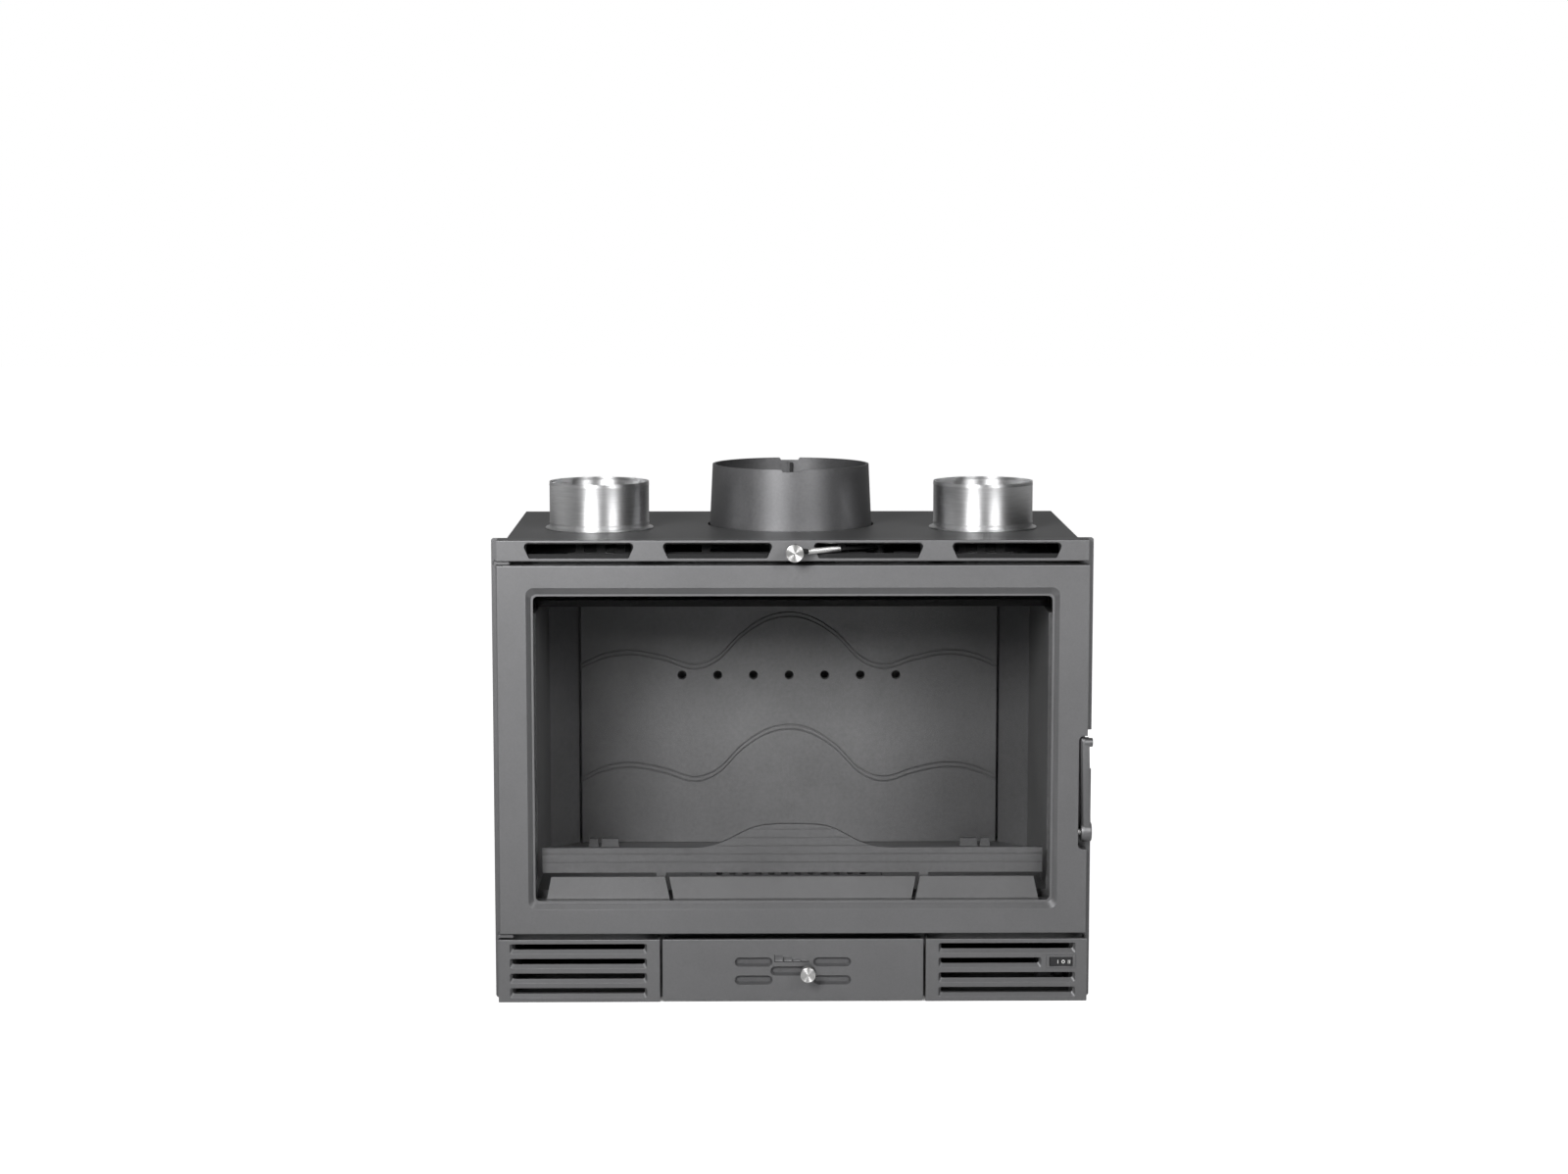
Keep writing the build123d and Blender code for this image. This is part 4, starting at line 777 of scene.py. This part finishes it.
def buildHandle():
    footLeft, footRight = doorHandle["foot"]
    topLeft, topRight = doorHandle["top"]
    low, high = doorHandle["height"]
    front, back = doorHandle["depth"]
    middleX, middleY = (footLeft + footRight) / 2, (front + back) / 2
    near = doorHandle["near"]
    bar = block((footLeft, footRight), (front, back), (low, high))
    pickFaces(bar, lambda centre, normal: normal.z > 0.9)
    bpy.ops.transform.translate(value=((topLeft + topRight - footLeft - footRight) / 2, 0, 0))
    bpy.ops.object.mode_set(mode="OBJECT")
    pickEdges(bar, lambda a, b: abs(a.z - b.z) > 0.05 and a.x < middleX and a.y < middleY)
    bpy.ops.mesh.bevel(offset=doorHandle["chamfer"], segments=1)
    bpy.ops.object.mode_set(mode="OBJECT")
    pickEdges(bar, lambda a, b: min(a.z, b.z) > high - near and max(a.y, b.y) < front + near)
    roundness, steps = doorHandle["round"]
    bpy.ops.mesh.bevel(offset=roundness, segments=steps)
    bpy.ops.object.mode_set(mode="OBJECT")
    apply(
        bar, "broken", "BEVEL", width=doorHandle["broken"], segments=2, limit_method="ANGLE",
        angle_limit=math.radians(doorHandle["sharp"]),
    )
    hubOutline = doorHandle["hub"] + doorHandle["hub"][:1]
    hub = turned(doorHandle["hubCentre"], "X", hubOutline, doorHandle["hubSides"])
    stub = turned(doorHandle["stubCentre"], "X", doorHandle["stub"], doorHandle["stubSides"])
    closeEnds(stub)
    piece = joinUp(bar, hub, stub)
    return finished(piece, "handleBar", "facePaint", "handle", "cast_paint", "handle_lever")


buildHandle()


# Switch marks: one stroke, a ring and two strokes, moulded proud of the rocker

switchMarks = {
    "middle": (0.31765, 0.0474),
    "ridge": -0.2164,
    "slope": 1.4 / 15,
    "proud": 0.00012,
    "sunk": 0.0003,
    "stroke": (0.0009, 0.0042),
    "soft": 0.00006,
    "strokes": [0.3140, 0.3263, 0.3281],
    "ring": {"at": 0.3203, "outer": 0.0021, "inner": 0.0012, "sides": 40},
}


def rockerPlace(x):
    away = abs(x - switchMarks["middle"][0])
    y = switchMarks["ridge"] - away * switchMarks["slope"]
    lean = math.atan(switchMarks["slope"]) * (1 if x < switchMarks["middle"][0] else -1)
    return Vector((x, y, switchMarks["middle"][1])), lean


def layOnRocker(mark, x):
    mark.location, lean = rockerPlace(x)
    mark.rotation_euler = (0, 0, lean)
    setDown(mark)
    return mark


def buildSwitchMarks():
    front, back = -switchMarks["proud"], switchMarks["sunk"]
    wide, tall = switchMarks["stroke"]
    marks = []
    for x in switchMarks["strokes"]:
        stroke = block((-wide / 2, wide / 2), (front, back), (-tall / 2, tall / 2))
        apply(stroke, "soft", "BEVEL", width=switchMarks["soft"], segments=2)
        marks.append(layOnRocker(stroke, x))
    sizes = switchMarks["ring"]
    inner, outer = sizes["inner"], sizes["outer"]
    outline = [(inner, back), (inner, front), (outer, front), (outer, back), (inner, back)]
    ring = turned((0, 0, 0), "Y", outline, sizes["sides"])
    piece = joinUp(marks[0], *marks[1:], layOnRocker(ring, sizes["at"]))
    return finished(piece, "switchMarks", "markWhite", "fan_switch", "black_plastic")


buildSwitchMarks()


# Air scale: four raised bars that fall away to the right, cast on the drawer front

airScale = {
    "front": -0.215,
    "proud": 0.0004,
    "foot": 0.0481,
    "inset": 0.0007,
    "sunkShare": 0.7,
    "soft": 0.00015,
    "bars": [
        (-0.0214, -0.0118, 0.0083), (-0.0106, -0.0012, 0.0059),
        (0.0, 0.0088, 0.0036), (0.0100, 0.0190, 0.0016),
    ],
}


def buildAirScale():
    front, proud, foot = airScale["front"], airScale["proud"], airScale["foot"]
    bars = []
    for left, right, tall in airScale["bars"]:
        bar = block((left, right), (front - proud, front + proud), (foot, foot + tall))
        pickFaces(bar, lambda centre, normal: normal.y < -0.9)
        bpy.ops.mesh.inset(thickness=airScale["inset"])
        sunk = (0, proud * airScale["sunkShare"], 0)
        bpy.ops.mesh.extrude_region_move(TRANSFORM_OT_translate={"value": sunk})
        bpy.ops.object.mode_set(mode="OBJECT")
        apply(bar, "soft", "BEVEL", width=airScale["soft"], segments=2)
        bars.append(bar)
    piece = joinUp(bars[0], *bars[1:])
    return finished(piece, "airScale", "sheetPaint", "drawer", "face_paint")


buildAirScale()


# Dark lines at the left and foot of each bar of the scale

scaleLine = {"wide": 0.0007, "proud": 0.00012, "soft": 0.00005}


def scaleStroke(left, right, low, high):
    front, proud = airScale["front"], scaleLine["proud"]
    stroke = block((left, right), (front - proud, front + proud), (low, high))
    apply(stroke, "soft", "BEVEL", width=scaleLine["soft"], segments=2)
    return stroke


def buildScaleLines():
    wide, foot = scaleLine["wide"], airScale["foot"]
    strokes = []
    for left, right, tall in airScale["bars"]:
        strokes.append(scaleStroke(left - wide, left, foot - wide, foot + tall))
        strokes.append(scaleStroke(left, right, foot - wide, foot))
    piece = joinUp(strokes[0], *strokes[1:])
    return finished(piece, "airScaleLines", "darkIron", "drawer", "face_paint")


buildScaleLines()


# Ledge behind the top slots: a strip with a small fold under its rear edge, and a plate on its front edge.
# Nothing carries the two: the nearest other piece, the front flange, is 3 mm away

slotLedge = {
    "strip": ((-0.2640, 0.2570), (-0.1975, -0.1869), (0.5309, 0.5319)),
    "plate": ((0.0954, 0.1112), (-0.2002, -0.1973), (0.5306, 0.5322)),
    "start": 0.0001,
    "lip": 0.0007,
    "fold": 0.15,
    "soft": 0.00015,
    "sharp": 40,
    "smooth": 10,
}


def buildLedge(key, name, finish, slot):
    across, depth, height = slotLedge[key]
    rear = (sum(across) / 2, depth[1], sum(height) / 2)
    strip = block(across, depth, height)
    pickFaces(strip, lambda centre, normal: normal.z < -0.9)
    bpy.ops.mesh.extrude_region_move(TRANSFORM_OT_translate={"value": (0, 0, -slotLedge["start"])})
    bpy.ops.transform.resize(value=(1, slotLedge["fold"], 1), center_override=rear)
    bpy.ops.mesh.extrude_region_move(TRANSFORM_OT_translate={"value": (0, 0, -slotLedge["lip"])})
    bpy.ops.object.mode_set(mode="OBJECT")
    apply(
        strip, "soft", "BEVEL", width=slotLedge["soft"], segments=1, limit_method="ANGLE",
        angle_limit=math.radians(slotLedge["sharp"]),
    )
    return finished(strip, name, finish, "casing", slot, smooth=slotLedge["smooth"])


buildLedge("strip", "slotLedge", "facePaint", "sheet_paint")
buildLedge("plate", "spindlePlate", "turnedSteel", "turned_steel")


# Damper rod: a fine thread over the run behind the knob and the one that leans back to the lever

rodThread = {
    "runs": [((0.0020, -0.2270, 0.538), 0.0160, -90.0), ((0.0172, -0.2272, 0.538), 0.0490, -50.0)],
    "root": 0.00295,
    "crest": 0.0033,
    "pitch": 0.0010,
    "crestShare": (0.35, 0.65),
    "sides": 28,
    "smooth": 20,
    "bendCentre": (0.0178, -0.2268, 0.538),
    "bendSides": 32,
    "bend": [
        (0.0005, -0.0034), (0.0019, -0.0029), (0.0029, -0.0018), (0.0034, 0),
        (0.0029, 0.0018), (0.0019, 0.0029), (0.0005, 0.0034),
    ],
}


def threadRun(start, length, angle):
    pitch = rodThread["pitch"]
    root, crest = rodThread["root"], rodThread["crest"]
    rise, fall = rodThread["crestShare"]
    profile = [(root, 0), (crest, pitch * rise), (crest, pitch * fall), (root, pitch)]
    run = turned((0, 0, 0), "Y", profile, rodThread["sides"])
    apply(
        run, "run", "ARRAY", count=int(length / pitch), use_relative_offset=False, use_constant_offset=True,
        constant_offset_displace=(0, pitch, 0), use_merge_vertices=True, merge_threshold=tiny,
    )
    closeEnds(run)
    run.rotation_euler = (0, 0, math.radians(angle))
    run.location = start
    setDown(run)
    return run


def buildRodThread():
    runs = [threadRun(*run) for run in rodThread["runs"]]
    bend = turned(rodThread["bendCentre"], "Z", rodThread["bend"], rodThread["bendSides"])
    closeEnds(bend)
    piece = joinUp(runs[0], *runs[1:], bend)
    return finished(piece, "rodThread", "threadSteel", "damper", "turned_steel", smooth=rodThread["smooth"])


buildRodThread()


# Collar groove: a short upright rib inside the rear wall of the flue collar, in near-black iron: painted shade
# for the groove there, which lies in shadow

collarGrooveShade = {
    "across": (0.0, 0.004),
    "depth": (0.06875, 0.07225),
    "height": (0.575, 0.6175),
    "soft": 0.0007,
}


def buildCollarGrooveShade():
    rib = block(collarGrooveShade["across"], collarGrooveShade["depth"], collarGrooveShade["height"])
    apply(rib, "soft", "BEVEL", width=collarGrooveShade["soft"], segments=2)
    return finished(rib, "collarGrooveShade", "darkIron", "casing", "cast_paint")


buildCollarGrooveShade()


# Back lining: a cast plate with seven air holes and two wave ornaments, each a pair of fine grooves

backPlate = {
    "edge": 0.0008,
    "holeRadius": 0.00515,
    "holeLip": 0.0009,
    "holePitch": 0.0456,
    "holes": 7,
    "holeHeight": 0.3415,
    "drillSides": 32,
    "past": 0.001,
    "crests": (0.4235, 0.277),
    "lines": ((0.0, 0.0025), (-0.0058, 0.0021)),
    "deep": 0.0032,
    "step": 0.0044,
    "reach": 0.27,
    "smooth": 10,
    "wave": [
        (0, 0), (0.030, 0.0064), (0.0605, 0.0261), (0.091, 0.0568), (0.121, 0.0679),
        (0.160, 0.0565), (0.204, 0.0492), (0.240, 0.0548), (0.266, 0.0665), (0.280, 0.0740),
    ],
}


def smoothThrough(points, x):
    spans = list(zip(points, points[1:]))
    slopes = [(b[1] - a[1]) / (b[0] - a[0]) for a, b in spans]
    inner = [(one + two) / 2 if one * two > 0 else 0 for one, two in zip(slopes, slopes[1:])]
    ends = [0] + inner + [slopes[-1]]
    for index, (a, b) in enumerate(spans):
        if x <= b[0]:
            break
    wide = b[0] - a[0]
    t = (x - a[0]) / wide
    return (
        a[1] * (2 * t ** 3 - 3 * t ** 2 + 1) + b[1] * (3 * t ** 2 - 2 * t ** 3)
        + ends[index] * wide * (t ** 3 - 2 * t ** 2 + t) + ends[index + 1] * wide * (t ** 3 - t ** 2)
    )


def waveBlade(crest, down, line, front):
    step = backPlate["step"]
    count = int(backPlate["reach"] / step)
    across = [index * step for index in range(-count, count + 1)]
    places = [(x, crest + down - smoothThrough(backPlate["wave"], abs(x))) for x in across]
    clearAll()
    bpy.ops.mesh.primitive_plane_add(size=1, rotation=(0, math.pi / 2, 0))
    blade = bpy.context.object
    blade.scale = (line, backPlate["deep"] * 2, 1)
    setDown(blade)
    blade.location = (places[0][0], front, places[0][1])
    setDown(blade)
    bpy.ops.object.mode_set(mode="EDIT")
    bpy.ops.mesh.select_all(action="SELECT")
    for (x, z), (nextX, nextZ) in zip(places, places[1:]):
        bpy.ops.mesh.extrude_region_move(TRANSFORM_OT_translate={"value": (nextX - x, 0, nextZ - z)})
    bpy.ops.mesh.select_all(action="SELECT")
    bpy.ops.mesh.normals_make_consistent(inside=False)
    bpy.ops.object.mode_set(mode="OBJECT")
    return blade


def cutOut(piece, cutter):
    apply(piece, "cut", "BOOLEAN", operation="DIFFERENCE", object=cutter, solver="EXACT")
    bpy.data.objects.remove(cutter)


def buildBackPlate():
    low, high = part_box("back_lining")
    plate = block((low.x, high.x), (low.y, high.y), (low.z, high.z))
    apply(plate, "broken", "BEVEL", width=backPlate["edge"], segments=2)
    radius, lip, past = backPlate["holeRadius"], backPlate["holeLip"], backPlate["past"]
    first = -backPlate["holePitch"] * (backPlate["holes"] - 1) / 2
    for index in range(backPlate["holes"]):
        centre = (first + index * backPlate["holePitch"], low.y, backPlate["holeHeight"])
        profile = [
            (radius + lip + past, -past), (radius + lip, 0.0), (radius, lip), (radius, high.y - low.y + past),
        ]
        drill = turned(centre, "Y", profile, backPlate["drillSides"])
        closeEnds(drill)
        cutOut(plate, drill)
    for crest in backPlate["crests"]:
        for down, line in backPlate["lines"]:
            cutOut(plate, waveBlade(crest, down, line, low.y))
    return finished(
        plate, "backPlate", "liningIron", "casing", "fire_iron", "back_lining", smooth=backPlate["smooth"],
    )


buildBackPlate()


# Seals: a braided rope in the door's channel and a woven tape behind the glass

sealRope = {
    "route": {"half": 0.322, "low": 0.096, "high": 0.506, "corner": 0.009, "depth": -0.19215},
    "pitches": 92,
    "steps": 20,
    "sides": 6,
    "middle": 0.00285,
    "weave": 0.0006,
    "strand": (0.00185, 0.00078),
    "core": 0.0026,
    "coreSides": 8,
    "strandsEachWay": 4,
    "smooth": 60,
}

sealTape = {
    "route": {"half": 0.30795, "low": 0.11655, "high": 0.48745, "corner": 0.0034, "depth": -0.20625},
    "ribs": 560,
    "wide": 0.0062,
    "thick": 0.0013,
    "swell": 1.5,
    "slant": 0.0014,
    "smooth": 30,
}

routeBend = {"roundPull": 0.5523, "steps": 10, "merge": 0.00002}


def routeLength(route):
    straight = 2 * (2 * route["half"] + route["high"] - route["low"] - 4 * route["corner"])
    return straight + 2 * math.pi * route["corner"]


def layAlong(unit, route):
    corner = route["corner"]
    pull = corner * routeBend["roundPull"]
    half, low, high, depth = route["half"], route["low"], route["high"], route["depth"]
    data = bpy.data.curves.new("route", "CURVE")
    data.dimensions = "3D"
    data.resolution_u = routeBend["steps"]
    spline = data.splines.new("BEZIER")
    corners = [
        ((half - corner, low), (1, 0)), ((half, low + corner), (0, 1)),
        ((half, high - corner), (0, 1)), ((half - corner, high), (-1, 0)),
        ((-half + corner, high), (-1, 0)), ((-half, high - corner), (0, -1)),
        ((-half, low + corner), (0, -1)), ((-half + corner, low), (1, 0)),
    ]
    spline.bezier_points.add(len(corners) - 1)
    spline.use_cyclic_u = True
    for point, ((x, z), (alongX, alongZ)) in zip(spline.bezier_points, corners):
        point.co = (x, depth, z)
        point.handle_left = (x - alongX * pull, depth, z - alongZ * pull)
        point.handle_right = (x + alongX * pull, depth, z + alongZ * pull)
    path = bpy.data.objects.new("route", data)
    bpy.context.scene.collection.objects.link(path)
    apply(unit, "lay", "CURVE", object=path, deform_axis="POS_X")
    bpy.data.objects.remove(path)


def repeatAlong(unit, pitch, count):
    apply(
        unit, "run", "ARRAY", count=count, use_relative_offset=False, use_constant_offset=True,
        constant_offset_displace=(pitch, 0, 0), use_merge_vertices=True, merge_threshold=routeBend["merge"],
    )


def braidStrand(start, way, pitch):
    wide, thick = sealRope["strand"]
    middle, weave, steps = sealRope["middle"], way * sealRope["weave"], sealRope["steps"]
    turn = 2 * math.pi / steps
    crossings = 2 * math.pi * sealRope["strandsEachWay"]
    slope = math.atan(2 * math.pi * middle / pitch) * way
    radii = [middle + weave * math.cos(crossings * index / steps) for index in range(steps + 1)]
    clearAll()
    bpy.ops.mesh.primitive_circle_add(
        vertices=sealRope["sides"], radius=1, fill_type="NOTHING", rotation=(0, math.pi / 2, 0),
    )
    strand = bpy.context.object
    strand.scale = (thick, wide, 1)
    setDown(strand)
    strand.rotation_euler = (0, 0, slope)
    strand.location = (0, 0, radii[0])
    setDown(strand)
    strand.rotation_euler = (start, 0, 0)
    setDown(strand)
    bpy.ops.object.mode_set(mode="EDIT")
    bpy.ops.mesh.select_all(action="SELECT")
    angle = start
    for index in range(steps):
        out = Vector((0, -math.sin(angle), math.cos(angle))) * (radii[index + 1] - radii[index])
        bpy.ops.mesh.extrude_region_move(TRANSFORM_OT_translate={"value": Vector((pitch / steps, 0, 0)) + out})
        bpy.ops.transform.rotate(value=turn * way, orient_axis="X", center_override=(0, 0, 0))
        angle -= turn * way
    bpy.ops.object.mode_set(mode="OBJECT")
    return strand


def buildDoorRope():
    pitch = routeLength(sealRope["route"]) / sealRope["pitches"]
    count = sealRope["strandsEachWay"]
    starts = [2 * math.pi * index / count for index in range(count)]
    strands = [braidStrand(start, way, pitch) for way in (1, -1) for start in starts]
    unit = joinUp(strands[0], *strands[1:])
    core = turned((0, 0, 0), "X", [(sealRope["core"], 0), (sealRope["core"], pitch)], sealRope["coreSides"])
    unit = joinUp(unit, core)
    repeatAlong(unit, pitch, sealRope["pitches"])
    layAlong(unit, sealRope["route"])
    return finished(unit, "doorRope", "glassRope", "door", "rope", "door_rope_seal", smooth=sealRope["smooth"])


def buildGlassTape():
    pitch = routeLength(sealTape["route"]) / sealTape["ribs"]
    wide, thick = sealTape["wide"], sealTape["thick"]
    rib = block((0, pitch), (-thick / 2, thick / 2), (-wide / 2, wide / 2))
    bpy.ops.object.mode_set(mode="EDIT")
    bpy.ops.mesh.select_all(action="SELECT")
    bpy.ops.mesh.bisect(plane_co=(0, 0, 0), plane_no=(0, 0, 1))
    bpy.ops.mesh.select_all(action="SELECT")
    bpy.ops.mesh.bisect(plane_co=(pitch / 2, 0, 0), plane_no=(1, 0, 0))
    bpy.ops.object.mode_set(mode="OBJECT")
    pickEdges(rib, lambda a, b: abs(a.x - pitch / 2) < tiny and abs(b.x - pitch / 2) < tiny)
    bpy.ops.transform.resize(value=(1, sealTape["swell"], 1))
    bpy.ops.object.mode_set(mode="OBJECT")
    pickFaces(rib, lambda centre, normal: abs(normal.x) > 0.9)
    bpy.ops.mesh.delete(type="FACE")
    bpy.ops.object.mode_set(mode="OBJECT")
    pickEdges(rib, lambda a, b: abs(a.z) < tiny and abs(b.z) < tiny)
    bpy.ops.transform.translate(value=(sealTape["slant"], 0, 0))
    bpy.ops.object.mode_set(mode="OBJECT")
    repeatAlong(rib, pitch, sealTape["ribs"])
    layAlong(rib, sealTape["route"])
    return finished(rib, "glassTape", "glassRope", "door", "rope", "glass_gasket", smooth=sealTape["smooth"])


buildDoorRope()
buildGlassTape()
